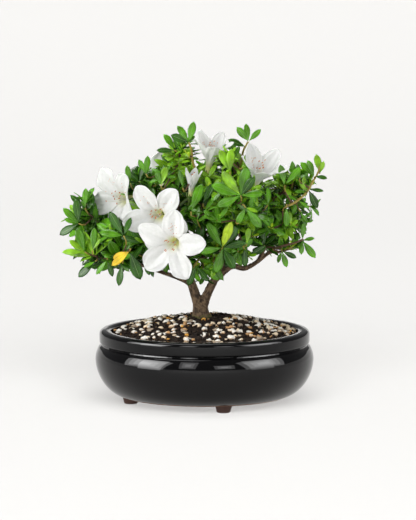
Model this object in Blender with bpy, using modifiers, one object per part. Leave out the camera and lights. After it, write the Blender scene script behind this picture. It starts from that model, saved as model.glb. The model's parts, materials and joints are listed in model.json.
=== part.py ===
"""An azalea bonsai in bloom, standing in a round glazed pot filled with grit and soil.

Blender 4.5, metres, +Z up. The plant faces -Y. Sizes below are in millimetres, measured from the
middle of the pot at the level of the ground; the whole model is then set over its own middle.
"""

import math
import random
from collections import namedtuple

import bmesh
import bpy
from mathutils import Matrix, Vector
from mathutils.bvhtree import BVHTree

MM = 0.001
GAP = 0.3  # clearance between pieces that rest on each other
UP = Vector((0, 0, 1))
GOLDEN_ANGLE = math.pi * (3 - math.sqrt(5))

# Pot
TURNED_STEPS = 32
POT_HEIGHT = 61.0
RIM_RADIUS = 89.0
MOUTH_RADIUS = 78.7
LIP_HEIGHT = 11.5
LIP_ROUNDING = 1.6
NECK_RADIUS = 87.6
BELLY_RADIUS = 92.4
BELLY_HEIGHT = 36.0
BELLY_FULLNESS = 1.8  # exponent of the curve from the belly down to the base
SHOULDER_FALL = 2.2  # exponent of the curve from the belly up to the neck
BASE_RADIUS = 69.0
FOOT_HEIGHT = 5.8
POT_WALL = 6.0
WALL_RISE = 9.0  # height above the floor at which the inner wall has turned upright
UPPER_BELLY = (0.45, 1.0)  # rings of the profile from the shoulder down to the belly
LOWER_BELLY = (24, 45, 62, 77)  # degrees down the curve from the belly to the base
DRAIN_RADIUS = 7.0
FEET = ("pot_foot_right", "pot_foot_back", "pot_foot_left", "pot_foot_front")
FOOT_SIDES = 12
FOOT_CIRCLE = 64.0
FOOT_TURN = math.radians(14.3)
FOOT_TOP_RADIUS = 7.4
FOOT_SOLE_RADIUS = 5.6

# Soil
MOUND_PEAK = 71.0
MOUND_DROP = 14.0
MOUND_FLAT_RADIUS = 14.0  # level place that the trunk stands on
PEBBLE_SPREAD = 9.6  # radius of the round patch of soil that one large pebble has to itself
PEBBLE_NUMBERS = range(4, 58)  # along a spiral that starts in the middle of the pot
PEBBLE_SIDES = 4
PEBBLE_RADIUS = 3.6
PEBBLE_TOP_SHARE = 0.55  # radius of a pebble's flat top, as a share of its own
PEBBLE_RISE = 2.2
PEBBLE_SINK = 1.6
PEBBLE_VARIETY = 0.18

# Wood
LIMB_SIDES = 1  # a curve's bevel resolution: 1 gives six sides
TRUNK_SIDES = 2
TWIG_SIDES = 3
TWIG_RADIUS = (1.3, 1.05)  # at its foot and at its tip
TWIG_START_RADIUS = 0.55  # where a twig begins, inside the one that bears it
CURVE_REACH = 0.36  # share of its length that a curved twig runs on as it set out

# Leaves
LEAF_LENGTH = 23.0
LEAF_VARIETY = (0.88, 1.12)  # shortest and longest, as shares of that
LEAF_SLIMNESS = 0.42  # width over length
LEAF_THICKNESS = 0.6
LEAF_WIDEST = 0.56  # share of its length where a leaf is widest
LEAF_FOOT_WIDTH = 0.7
LEAF_FOLD = 0.12
LEAF_DROOP = 0.06
LEAF_SKY_LEAN = 0.3  # how far a leaf's upper face turns from its shoot to the sky
LEAF_REACH = 13.0  # how far a shoot's tip keeps inside its mass, as room for its leaves
LEAF_ATTEMPTS = (1.0, 0.86, 0.72, 0.58)  # sizes tried where a leaf would touch something
LEAF_OUTER_SHARE = 0.9  # the part of a leaf, from its tip, that keeps clear of other leaves
WHORL_LEAVES = 6
FEWEST_LEAVES = 2  # a shoot with room for fewer stays bare
WHORL_LEANS = ((38, 46), (58, 72))  # every other leaf of a whorl rises, its neighbours spread
WHORL_HUB_RADIUS = 1.8
WHORL_HUB_HEIGHT = 1.6

# Shoots
RISE = 0.35  # how strongly shoots turn upwards
STEM_SHARE = 0.7  # how far towards its middle a mass's stem runs
STEM_STATIONS = (0, 0.2, 0.45, 1)
TWIG_STATIONS = (0, 0.35, 1)
JOINT_STATIONS = (0.3, 0.8)  # where twigs may branch, in each span of the one that bears them
JOINT_DEPTH_COST = 0.4  # cost of a joint's distance from the stem's foot, next to the twig's length
SHORTEST_TWIG = 8.0
LEAST_INSET = 0.25  # share of a mass's radius that its shoots' tips reach at the least
TURN_JITTER = 0.25  # radians that a shoot may stray from its even place round the mass

# Blossoms
PETAL_COUNT = 5
PETAL_LENGTH = 28.0
PETAL_WIDTH = 20.0
PETAL_DROOP = 0.14
TUBE_LENGTH = 15.0
TUBE_RADIUS = 6.0
THROAT_DEPTH = 11.0
# Rings of the tube: share of its radius, share of its length.
TUBE_INSIDE = (0.8, 0.92)
TUBE_NOTCH = (1.3, 1.02)
TUBE_OUTSIDE = (1.1, 0.78)
PETAL_ROOT = 0.7  # share of the tube's radius that the petals spring from
CLOSED_WIDTH = 0.3  # share of a petal's width that shows on a closed bloom
FULL_WIDTH_OPENING = 80.0  # degrees of opening that add as much as the whole width
WIDE_OPEN = 40.0  # degrees of opening from which a bloom has leafless room before it
# A petal's outline, from one notch to the next: share of its length, share of its half width.
PETAL_OUTLINE = ((0.56, -1.0), (0.95, -0.5), (0.95, 0.5), (0.56, 1.0))
PETAL_SPREAD = (-19, -8, 8, 19)  # degrees round the throat at which those corners' folds start
STALK_RADIUS = (1.3, 0.9)
STALK_SIDES = 4
STALK_REACH = 3.0  # how far the stalk runs on inside the tube
STALK_STATIONS = (0, 0.25, 0.5, 0.75, 1)
BLOOM_CLEARING = 19.0  # radius of the leafless room in front of an open bloom
CLEARING_SHIFT = 0.9  # how many of its radii that room's middle lies before the throat
LEAF_MIDDLE = 0.6  # share of a leaf's length whose place is tested against that room

# The two stems run on from the arms of the trunk, so each path holds both: (x, y, z, radius).
FORK_POINTS = 4
LEFT_PATH = (
    (-4.4, 0.0, 73.0, 4.6),
    (-6.0, 0.0, 84.0, 4.4),
    (-8.2, 0.0, 91.6, 4.1),
    (-10.2, -0.2, 97.5, 3.9),
    (-12.3, 0.0, 105.0, 3.6),
    (-14.0, 3.0, 120.0, 3.0),
    (-17.5, 6.0, 143.0, 2.5),
    (-24.0, 6.0, 172.0, 1.9),
)
RIGHT_PATH = (
    (-2.2, 0.0, 73.0, 4.6),
    (-0.2, 0.0, 84.0, 4.2),
    (2.8, 0.0, 91.6, 3.8),
    (5.6, 0.2, 97.5, 3.6),
    (9.4, 0.5, 105.0, 3.4),
    (13.6, 2.0, 115.0, 3.2),
    (17.5, 6.0, 140.0, 2.6),
    (18.0, 7.0, 170.0, 1.9),
)
TRUNK_FOOT = (
    (-3.3, 0.0, MOUND_PEAK + GAP, 8.6),
    (-3.3, 0.0, MOUND_PEAK + 3.5, 6.9),
    (-3.2, 0.0, MOUND_PEAK + 9.0, 6.2),
    (-2.8, 0.0, MOUND_PEAK + 12.5, 4.6),
)

# Each bough leaves its parent at a share of the parent's length and runs through its points.
Bough = namedtuple("Bough", "parent share points root_radius tip_radius")
BOUGHS = {
    "bough_left": Bough(
        "stem_left",
        0.07,
        ((-20, -2, 104), (-37, -5, 110.5), (-53.6, -7, 116.5), (-62, -8, 119)),
        2.3,
        1.25,
    ),
    "bough_right": Bough(
        "stem_right",
        0.20,
        ((22.5, 0, 114.2), (33, -1, 112.8), (42.5, -1, 117), (54.5, 0, 126.3)),
        2.9,
        1.6,
    ),
    "bough_left_rise": Bough("stem_left", 0.24, ((-40, 7, 132), (-66, 16, 142)), 2.0, 1.3),
    "bough_left_back": Bough("stem_left", 0.62, ((-32, 13, 158), (-42, 18, 167)), 1.8, 1.2),
    "bough_left_front": Bough("stem_left", 0.44, ((-24, 1, 130), (-36, 0, 138)), 1.8, 1.2),
    "bough_low_front": Bough("stem_right", 0.16, ((10, -8, 117), (10, -16, 121)), 1.7, 1.2),
    "bough_front": Bough("stem_right", 0.42, ((20, -8, 141), (22, -17, 148)), 1.8, 1.2),
    "bough_middle": Bough("stem_right", 0.50, ((12, 0, 149), (6, -3, 157)), 1.7, 1.2),
    "bough_right_rise": Bough("bough_right", 0.80, ((52, -3, 132), (58, -5, 140)), 1.6, 1.2),
    "bough_right_top": Bough("stem_right", 0.52, ((36, 6, 158), (49, 6, 168)), 1.9, 1.25),
    "bough_back_left": Bough("stem_left", 0.33, ((-27, 22, 135), (-38, 34, 142)), 1.9, 1.25),
    "bough_back": Bough("stem_right", 0.46, ((11, 20, 148), (7, 31, 154)), 1.9, 1.25),
    "bough_back_right": Bough("stem_right", 0.30, ((28, 18, 132), (38, 29, 139)), 1.9, 1.25),
}

# Each mass of foliage fills its own ellipsoid, up to the plane halfway to each neighbour.
Mass = namedtuple("Mass", "limb centre radii shoots seed")
MASSES = {
    "foliage_left_low": Mass("bough_left", (-82, -10, 125), (41, 31, 25), 12, 300),
    "foliage_left_high": Mass("bough_left_rise", (-95, 8, 156), (26, 30, 25), 9, 301),
    "foliage_left_back": Mass("bough_left_back", (-56, 20, 182), (25, 29, 23), 9, 302),
    "foliage_left_front": Mass("bough_left_front", (-47, -7, 139), (29, 26, 31), 11, 303),
    "foliage_top_left": Mass("stem_left", (-25, 4, 205), (26, 31, 31), 12, 304),
    "foliage_top": Mass("stem_right", (26, 5, 201), (27, 32, 35), 12, 405),
    "foliage_middle": Mass("bough_middle", (0, -5, 171), (24, 24, 27), 12, 314),
    "foliage_front": Mass("bough_front", (27, -29, 164), (32, 27, 27), 11, 306),
    "foliage_low_front": Mass("bough_low_front", (12, -24, 128), (30, 22, 24), 12, 307),
    "foliage_right_top": Mass("bough_right_top", (75, 5, 183), (31, 32, 26), 11, 308),
    "foliage_right_middle": Mass("bough_right_rise", (70, -8, 153), (28, 30, 21), 12, 309),
    "foliage_right_low": Mass("bough_right", (71, -2, 129), (27, 26, 19), 8, 310),
    "foliage_back_left": Mass("bough_back_left", (-54, 48, 150), (37, 30, 31), 10, 311),
    "foliage_back": Mass("bough_back", (3, 52, 167), (34, 30, 36), 9, 312),
    "foliage_back_right": Mass("bough_back_right", (54, 46, 153), (35, 30, 30), 9, 313),
}

# Each bloom hangs on its limb by a twig, has its throat at a place and faces a way; its petals
# open by an angle from that way, the first one turned by an angle from upright.
Bloom = namedtuple("Bloom", "limb share throat facing opening turn scale")
BLOOMS = {
    "blossom_front": Bloom("stem_left", 0.58, (-25.7, -54, 139.9), (-0.32, -0.93, -0.17), 70, -12, 1.0),
    "blossom_upper_front": Bloom("stem_left", 0.78, (-38, -33, 161), (-0.32, -0.94, -0.05), 66, 32, 0.97),
    "blossom_left": Bloom("bough_left_rise", 0.55, (-69, 2, 171), (-0.76, -0.63, -0.02), 60, 30, 1.0),
    "blossom_top": Bloom("stem_left", 0.93, (4.5, -6, 205), (0.16, -0.34, 0.92), 31, 20, 0.88),
    "blossom_right": Bloom("bough_right_top", 0.7, (44, -13, 190), (0.30, -0.46, 0.83), 36, 10, 1.0),
    "blossom_half_open": Bloom("stem_left", 0.86, (-11, -24, 183), (0.12, -0.22, 0.95), 17, 30, 0.6),
    "blossom_back_left": Bloom("bough_back_left", 0.5, (-38, 74, 176), (-0.25, 0.85, 0.46), 64, 0, 1.0),
    "blossom_back_right": Bloom("bough_back_right", 0.7, (36, 76, 153), (0.30, 0.93, 0.20), 68, 40, 1.0),
}


def metres(point):
    """A point given in millimetres, as a vector in metres."""
    return Vector(point[:3]) * MM


def clear_scene():
    for obj in list(bpy.data.objects):
        bpy.data.objects.remove(obj)


def new_collection(name, parent=None):
    made = bpy.data.collections.new(name)
    (parent or bpy.context.scene.collection).children.link(made)
    return made


def new_material(name, colour, roughness, metallic=0.0):
    material = bpy.data.materials.new(name)
    material.use_nodes = True
    shader = material.node_tree.nodes["Principled BSDF"]
    shader.inputs["Base Color"].default_value = (*colour, 1)
    shader.inputs["Roughness"].default_value = roughness
    shader.inputs["Metallic"].default_value = metallic
    return material


def object_from(mesh, name, collection, material=None):
    """Put a bmesh, which this frees, or a mesh in the scene as a named object."""
    if isinstance(mesh, bmesh.types.BMesh):
        shape = bpy.data.meshes.new(name)
        mesh.to_mesh(shape)
        mesh.free()
        mesh = shape
    mesh.name = name
    mesh.materials.clear()
    if material:
        mesh.materials.append(material)
    obj = bpy.data.objects.new(name, mesh)
    collection.objects.link(obj)
    return obj


def as_mesh(obj, weld=False):
    """Replace an object by one with its modifiers or its curve turned into a closed mesh."""
    graph = bpy.context.evaluated_depsgraph_get()
    shape = bpy.data.meshes.new_from_object(obj.evaluated_get(graph))
    if weld:
        welded = bmesh.new()
        welded.from_mesh(shape)
        bmesh.ops.remove_doubles(welded, verts=welded.verts, dist=0.00001)
        welded.to_mesh(shape)
        welded.free()
    collection = obj.users_collection[0]
    name, matrix = obj.name, obj.matrix_world.copy()
    material = obj.data.materials[0] if obj.data.materials else None
    bpy.data.objects.remove(obj)
    made = object_from(shape, name, collection, material)
    made.matrix_world = matrix
    return made


def hide(obj):
    """Make an object a helper that is no part of the model."""
    obj.hide_render = True
    obj.display_type = "WIRE"
    return obj


def keep_largest_piece(obj):
    """Drop what a union leaves loose or seals inside, so that one closed body is left."""
    shape = bmesh.new()
    shape.from_mesh(obj.data)
    waiting, pieces = set(shape.faces), []
    while waiting:
        piece, reached = set(), [waiting.pop()]
        while reached:
            face = reached.pop()
            piece.add(face)
            near = {other for edge in face.edges for other in edge.link_faces} & waiting
            waiting -= near
            reached.extend(near)
        pieces.append(piece)
    largest = max(pieces, key=len)
    loose = [face for face in shape.faces if face not in largest]
    bmesh.ops.delete(shape, geom=loose, context="FACES")
    shape.to_mesh(obj.data)
    shape.free()


def fuse(base, pieces, solver="MANIFOLD"):
    """Join the objects of a collection to a base by one union, and remove them."""
    union = base.modifiers.new("union", "BOOLEAN")
    union.operation = "UNION"
    union.operand_type = "COLLECTION"
    union.collection = pieces
    union.solver = solver
    joined = as_mesh(base)
    for obj in list(pieces.objects):
        bpy.data.objects.remove(obj)
    bpy.data.collections.remove(pieces)
    keep_largest_piece(joined)
    return joined


def cut(obj, cutter):
    """Cut a helper's shape out of an object, for good."""
    difference = obj.modifiers.new("cut", "BOOLEAN")
    difference.operation = "DIFFERENCE"
    difference.object = cutter
    trimmed = as_mesh(obj)
    keep_largest_piece(trimmed)
    return trimmed


def tree_of(obj):
    """A tree for testing what crosses an object's surface."""
    shape = bmesh.new()
    shape.from_mesh(obj.data)
    tree = BVHTree.FromBMesh(shape)
    shape.free()
    return tree


def turned(name, profile, collection, material):
    """Turn a closed profile of (radius, height) points in millimetres round the Z axis."""
    outline = bmesh.new()
    verts = [outline.verts.new((radius * MM, 0, height * MM)) for radius, height in profile]
    ends_on_axis = profile[0][0] == 0 and profile[-1][0] == 0
    for first, second in zip(verts, verts[1:] if ends_on_axis else verts[1:] + verts[:1]):
        outline.edges.new((first, second))
    obj = object_from(outline, name, collection, material)
    screw = obj.modifiers.new("turn", "SCREW")
    screw.steps = screw.render_steps = TURNED_STEPS
    screw.use_merge_vertices = True
    screw.merge_threshold = 0.00001
    return as_mesh(obj, weld=True)


def belly_radius(height):
    """The pot's outer radius below the lip."""
    if height >= BELLY_HEIGHT:
        rise = (height - BELLY_HEIGHT) / (POT_HEIGHT - LIP_HEIGHT - BELLY_HEIGHT)
        return BELLY_RADIUS - (BELLY_RADIUS - NECK_RADIUS) * rise**SHOULDER_FALL
    fall = (BELLY_HEIGHT - height) / (BELLY_HEIGHT - FOOT_HEIGHT)
    share = (1 - fall**BELLY_FULLNESS) ** (1 / BELLY_FULLNESS)
    return BASE_RADIUS + (BELLY_RADIUS - BASE_RADIUS) * share


def inner_wall():
    """The pot's inner side from the floor up to the mouth, as (radius, height) points."""
    floor = FOOT_HEIGHT + POT_WALL
    heights = (floor + WALL_RISE, BELLY_HEIGHT)
    wall = [(belly_radius(height) - POT_WALL, height) for height in heights]
    return [(BASE_RADIUS - POT_WALL, floor), *wall, (MOUTH_RADIUS, POT_HEIGHT - LIP_HEIGHT)]


def pot_profile():
    """Up the inside, over the lip, down the belly and along the underside."""
    shoulder = POT_HEIGHT - LIP_HEIGHT
    inside = [(DRAIN_RADIUS, FOOT_HEIGHT + POT_WALL), *inner_wall()]
    lip = [
        (MOUTH_RADIUS, POT_HEIGHT - LIP_ROUNDING),
        (MOUTH_RADIUS + LIP_ROUNDING, POT_HEIGHT),
        (RIM_RADIUS - LIP_ROUNDING, POT_HEIGHT),
        (RIM_RADIUS, POT_HEIGHT - LIP_ROUNDING),
        (RIM_RADIUS, shoulder + LIP_ROUNDING),
        (NECK_RADIUS, shoulder),
    ]
    upper = [shoulder + (BELLY_HEIGHT - shoulder) * share for share in UPPER_BELLY]
    turns = [math.radians(angle) for angle in LOWER_BELLY]
    lower = [BELLY_HEIGHT - (BELLY_HEIGHT - FOOT_HEIGHT) * math.sin(turn) for turn in turns]
    belly = [(belly_radius(height), height) for height in upper + lower]
    underside = [(BASE_RADIUS, FOOT_HEIGHT), (DRAIN_RADIUS, FOOT_HEIGHT)]
    return inside + lip + belly + underside


def build_pot(collection, material, foot_material):
    """The turned pot and the feet that it stands on."""
    turned("pot", pot_profile(), collection, material)
    height = FOOT_HEIGHT - GAP
    middle = Matrix.Translation(metres((FOOT_CIRCLE, 0, height / 2)))
    for number, name in enumerate(FEET):
        turn = FOOT_TURN + number * 2 * math.pi / len(FEET)
        foot = bmesh.new()
        bmesh.ops.create_cone(
            foot,
            cap_ends=True,
            segments=FOOT_SIDES,
            radius1=FOOT_SOLE_RADIUS * MM,
            radius2=FOOT_TOP_RADIUS * MM,
            depth=height * MM,
            matrix=Matrix.Rotation(turn, 4, "Z") @ middle,
        )
        object_from(foot, name, collection, foot_material)


def mound_height(radius):
    """Height of the soil's surface at a distance from the pot's middle."""
    spread = max(radius, MOUND_FLAT_RADIUS) ** 2 - MOUND_FLAT_RADIUS**2
    return MOUND_PEAK - MOUND_DROP * spread / MOUTH_RADIUS**2


def build_soil(collection, material):
    """The mound of soil and grit that fills the pot, with its largest pebbles standing out."""
    wall = [(radius - GAP, height) for radius, height in inner_wall()]
    floor_height = wall[0][1] + GAP
    edge = MOUTH_RADIUS - GAP
    side = [(wall[0][0], floor_height), *wall[1:], (edge, mound_height(edge))]
    top = [(edge * share, mound_height(edge * share)) for share in (0.8, 0.6, 0.4)]
    profile = [(0, floor_height), *side, *top, (MOUND_FLAT_RADIUS, MOUND_PEAK), (0, MOUND_PEAK)]
    soil = turned("soil", profile[::-1], collection, material)
    pebbles = new_collection("pebbles")
    depth = PEBBLE_RISE + PEBBLE_SINK
    for number in PEBBLE_NUMBERS:
        turn, distance = number * GOLDEN_ANGLE, PEBBLE_SPREAD * math.sqrt(number)
        size = PEBBLE_RADIUS * (1 + PEBBLE_VARIETY * math.sin(number * number))
        level = mound_height(distance) - PEBBLE_SINK + depth / 2
        pebble = bmesh.new()
        bmesh.ops.create_cone(
            pebble,
            cap_ends=True,
            segments=PEBBLE_SIDES,
            radius1=size * MM,
            radius2=size * PEBBLE_TOP_SHARE * MM,
            depth=depth * MM,
            matrix=Matrix.Rotation(turn, 4, "Z") @ Matrix.Translation(metres((distance, 0, level))),
        )
        object_from(pebble, "pebble", pebbles)
    fuse(soil, pebbles)


def smooth_path(points, steps):
    """Points of a curve through the given (x, y, z, radius) points, with steps to each span."""
    knots = [Vector(point) for point in points]
    knots = [2 * knots[0] - knots[1], *knots, 2 * knots[-1] - knots[-2]]
    path = []
    for a, b, c, d in zip(knots, knots[1:], knots[2:], knots[3:]):
        for step in range(steps):
            t = step / steps
            bend = (2 * a - 5 * b + 4 * c - d) * t**2 + (3 * b - a - 3 * c + d) * t**3
            path.append(0.5 * (2 * b + (c - a) * t + bend))
    return [*path, knots[-2]]


def tube(name, path, sides, collection, material=None, swell=0.0):
    """A tapering round limb along a path of (x, y, z, radius) points in millimetres."""
    curve = bpy.data.curves.new(name, "CURVE")
    curve.dimensions = "3D"
    curve.bevel_depth = MM
    curve.bevel_resolution = sides
    curve.use_fill_caps = True
    spline = curve.splines.new("POLY")
    spline.points.add(len(path) - 1)
    for point, (x, y, z, radius) in zip(spline.points, path):
        point.co = (x * MM, y * MM, z * MM, 1)
        point.radius = radius + swell
    obj = bpy.data.objects.new(name, curve)
    collection.objects.link(obj)
    if material:
        curve.materials.append(material)
    return as_mesh(obj, weld=True)


def point_along(path, share):
    """The (x, y, z, radius) point at a share of a path's points."""
    place = share * (len(path) - 1)
    low = min(int(place), len(path) - 2)
    return path[low].lerp(path[low + 1], place - low)


def start_clear(path):
    """The same path with its first point moved on by the gap."""
    step = (path[1] - path[0]).to_3d().normalized() * GAP
    return [path[0] + Vector((*step, 0)), *path[1:]]


def build_wood(collection, helpers, material):
    """The trunk, its two stems and all boughs. Returns each limb's path by name."""
    steps = 2
    left, right = smooth_path(LEFT_PATH, steps), smooth_path(RIGHT_PATH, steps)
    fork = (FORK_POINTS - 1) * steps
    arms = new_collection("arms")
    tube("arm_left", left[: fork + 1], TRUNK_SIDES, arms)
    tube("arm_right", right[: fork + 1], TRUNK_SIDES, arms)
    foot = tube("trunk", smooth_path(TRUNK_FOOT, 1), TRUNK_SIDES, collection, material)
    fuse(foot, arms, "EXACT")
    paths = {"stem_left": start_clear(left[fork:]), "stem_right": start_clear(right[fork:])}
    for name, path in paths.items():
        tube(name, path, LIMB_SIDES, collection, material)
    for name, bough in BOUGHS.items():
        root = point_along(paths[bough.parent], bough.share)
        count = len(bough.points)
        radii = [
            bough.root_radius + (bough.tip_radius - bough.root_radius) * (number + 1) / count
            for number in range(count)
        ]
        through = [(*root[:3], bough.root_radius), *((*p, r) for p, r in zip(bough.points, radii))]
        paths[name] = smooth_path(through, steps)
        limb = tube(name, paths[name], LIMB_SIDES, collection, material)
        parent = hide(tube("room_for_" + name, paths[bough.parent], LIMB_SIDES, helpers, swell=GAP))
        cut(limb, parent)
        bpy.data.objects.remove(parent)
    return paths


def frame_along(direction, upper):
    """Rotation whose X axis is a direction and whose Z axis leans towards an upper side."""
    x = direction.normalized()
    y = upper.cross(x)
    if y.length < 0.01:
        y = Vector((1, 0, 0)).cross(x) + Vector((0, 1, 0)).cross(x)
    y.normalize()
    return Matrix((x, y, x.cross(y))).transposed().to_4x4()


def rayed(top, rings, bottom):
    """A closed body from a top point, out and back through rings of points, to a bottom point."""
    shape = bmesh.new()
    levels, spokes = len(rings) + 1, len(rings[0])
    bmesh.ops.create_uvsphere(shape, u_segments=spokes, v_segments=levels, radius=1)
    points = [[top] * spokes, *rings, [bottom] * spokes]
    for vert in shape.verts:
        level = round(math.acos(max(-1, min(1, vert.co.z))) / math.pi * levels)
        spoke = round(math.atan2(vert.co.y, vert.co.x) / (2 * math.pi) * spokes) % spokes
        vert.co = points[level][spoke]
    return shape


def loft(rings):
    """A closed body through rings of corners: one face extruded from each ring to the next."""
    shape = bmesh.new()
    corner = shape.verts.layers.int.new("corner")
    made = bmesh.ops.create_circle(shape, cap_ends=True, segments=len(rings[0]), radius=1)
    for number, vert in enumerate(made["verts"]):
        vert[corner] = number
        vert.co = rings[0][number]
    shape.faces.ensure_lookup_table()
    face = shape.faces[0]
    for ring in rings[1:]:
        made = bmesh.ops.extrude_face_region(shape, geom=[face, *face.edges, *face.verts])
        for item in made["geom"]:
            if isinstance(item, bmesh.types.BMVert):
                item.co = ring[item[corner]]
            elif isinstance(item, bmesh.types.BMFace):
                face = item
    bmesh.ops.remove_doubles(shape, verts=shape.verts, dist=0.000001)
    bmesh.ops.recalc_face_normals(shape, faces=shape.faces)
    return shape


def leaf_blade(length):
    """A leaf along +X, in millimetres: a flat upper face on a keel, widest past its middle."""
    width = length * LEAF_SLIMNESS
    foot = LEAF_FOOT_WIDTH / 2
    lift = LEAF_FOLD * width / 2
    middle = length * LEAF_WIDEST
    sag = -LEAF_DROOP * length
    rings = [
        ((0, -foot, 0), (0, foot, 0), (0, 0, -foot)),
        ((middle, -width / 2, lift), (middle, width / 2, lift), (middle, 0, -LEAF_THICKNESS)),
        [(length, 0, sag)] * 3,
    ]
    return loft([[metres(corner) for corner in ring] for ring in rings])


def twig_rings(path, radii, sides=TWIG_SIDES, first=None):
    """Rings of corners round a path in metres, each turned to the path without a twist.

    A first heading, if given, is the one that the first ring faces away from.
    """
    headings = [(b - a).normalized() for a, b in zip(path, path[1:])]
    headings = [first or headings[0], *headings[1:], headings[-1]]
    out = headings[0].orthogonal().normalized()
    rings = []
    for number, (place, radius) in enumerate(zip(path, radii)):
        if number:
            out = headings[number - 1].rotation_difference(headings[number]) @ out
        step = Matrix.Rotation(2 * math.pi / sides, 3, headings[number])
        spoke, ring = out.copy(), []
        for _ in range(sides):
            ring.append(place + spoke * radius * MM)
            spoke = step @ spoke
        rings.append(ring)
    return rings


def arc(start, start_heading, end, end_heading, shares):
    """Points in metres, at shares of its length, of a curve that leaves and arrives as headed."""
    reach = (end - start).length * CURVE_REACH
    first, last = start + start_heading * reach, end - end_heading * reach
    return [
        (1 - t) ** 3 * start + 3 * (1 - t) ** 2 * t * first + 3 * (1 - t) * t * t * last + t**3 * end
        for t in shares
    ]


def tree_of_outer_part(leaf, tip):
    """A tree of a leaf without its foot, which may share room with other leaves' feet."""
    outer = leaf.copy()
    for vert in outer.verts:
        vert.co = tip.lerp(vert.co, LEAF_OUTER_SHARE)
    tree = BVHTree.FromBMesh(outer)
    outer.free()
    return tree


def swollen_tree(obj):
    """A tree of an object's surface moved outwards by the gap."""
    shape = bmesh.new()
    shape.from_mesh(obj.data)
    shape.normal_update()
    for vert, shift in [(vert, vert.normal * GAP * MM) for vert in shape.verts]:
        vert.co += shift
    tree = BVHTree.FromBMesh(shape)
    shape.free()
    return tree


def corolla(bloom, facing, base):
    """Five petals flaring from a hollow tube: out along their upper side, back along the lower."""
    turned_up = frame_along(facing, UP).to_3x3()
    tube_length, radius = TUBE_LENGTH * bloom.scale, TUBE_RADIUS * bloom.scale
    length = PETAL_LENGTH * bloom.scale
    width_share = min(1, CLOSED_WIDTH + bloom.opening / FULL_WIDTH_OPENING)
    half_width = PETAL_WIDTH * bloom.scale * width_share / 2
    spread = math.radians(bloom.opening)

    def place(degrees, across, along):
        turn = math.radians(degrees)
        out = turned_up @ Vector((0, -math.sin(turn), math.cos(turn)))
        return base + (out * across + facing * along) * MM

    def on_tube(degrees, ring):
        return place(degrees, radius * ring[0], tube_length * ring[1])

    inner, rim, outer = [], [], []
    for number in range(PETAL_COUNT):
        middle = bloom.turn + number * 360 / PETAL_COUNT
        notch = middle - 180 / PETAL_COUNT
        inner.append(on_tube(notch, TUBE_INSIDE))
        rim.append(on_tube(notch, TUBE_NOTCH))
        outer.append(on_tube(notch, TUBE_OUTSIDE))
        for (share, side), fold in zip(PETAL_OUTLINE, PETAL_SPREAD):
            across = radius * PETAL_ROOT + length * share * math.sin(spread)
            along = tube_length + length * (share * math.cos(spread) - PETAL_DROOP * share**2)
            sideways = place(middle + 90, half_width * side, 0) - base
            rim.append(place(middle, across, along) + sideways)
            inner.append(on_tube(middle + fold, TUBE_INSIDE))
            outer.append(on_tube(middle + fold, TUBE_OUTSIDE))
    throat = base + facing * (tube_length - THROAT_DEPTH * bloom.scale) * MM
    return rayed(throat, [inner, rim, outer], base - facing * MM)


def build_blossom(name, bloom, paths, collection, helpers, material):
    """A five-petalled trumpet fused to its own twig, which ends clear of its limb."""
    facing = Vector(bloom.facing).normalized()
    base = metres(bloom.throat) - facing * TUBE_LENGTH * bloom.scale * MM
    root = metres(point_along(paths[bloom.limb], bloom.share))
    end = base + facing * STALK_REACH * MM
    path = arc(root, (base - root).normalized(), end, facing, STALK_STATIONS)
    thick, thin = STALK_RADIUS
    radii = [thick + (thin - thick) * share for share in STALK_STATIONS]
    stalk = object_from(loft(twig_rings(path, radii, STALK_SIDES)), name, collection, material)
    limb = hide(tube("room_for_" + name, paths[bloom.limb], LIMB_SIDES, helpers, swell=GAP))
    stalk = cut(stalk, limb)
    bpy.data.objects.remove(limb)
    pieces = new_collection(name + "_pieces")
    object_from(corolla(bloom, facing, base), "corolla", pieces)
    return fuse(stalk, pieces)


def within(point, name):
    """Whether a point in metres is in a mass's own space, clear of its neighbours' spaces."""
    mass = MASSES[name]
    place = point / MM
    offset = place - Vector(mass.centre)
    if sum((offset[i] / mass.radii[i]) ** 2 for i in range(3)) > 1:
        return False

    def power(other):
        size = sum(other.radii) / 3
        return (place - Vector(other.centre)).length_squared - size * size

    own = power(mass)
    for other_name, other in MASSES.items():
        if other_name == name:
            continue
        apart = (Vector(other.centre) - Vector(mass.centre)).length
        if (power(other) - own) / (2 * apart) < GAP:
            return False
    return True


def touches(tree, others):
    return any(tree.overlap(other) for other in others)


def stays(shape, name, obstacles):
    """Whether a twig or leaf keeps to its mass's space and touches none of the obstacles."""
    inside = all(within(vert.co, name) for vert in shape.verts)
    return inside and not touches(BVHTree.FromBMesh(shape), obstacles)


def shoot_tips(mass, rng):
    """Places for shoots' ends, spread evenly over a mass, and the way that each one grows."""
    tips = []
    count = mass.shoots
    for number in range(count):
        height = 1 - (2 * number + 1) / count
        ring = math.sqrt(1 - height * height)
        turn = number * GOLDEN_ANGLE + rng.uniform(-TURN_JITTER, TURN_JITTER)
        out = Vector((ring * math.cos(turn), ring * math.sin(turn), height))
        inset = [max(radius - LEAF_REACH, LEAST_INSET * radius) for radius in mass.radii]
        place = Vector(mass.centre) + Vector(o * r for o, r in zip(out, inset))
        tips.append((place * MM, (out + RISE * UP).normalized()))
    return tips


def in_clearing(point):
    """Whether a point in metres lies in the open room before a bloom."""
    for bloom in BLOOMS.values():
        facing = Vector(bloom.facing).normalized()
        room = metres(bloom.throat) + facing * BLOOM_CLEARING * CLEARING_SHIFT * MM
        if bloom.opening > WIDE_OPEN and (point - room).length < BLOOM_CLEARING * MM:
            return True
    return False


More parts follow.
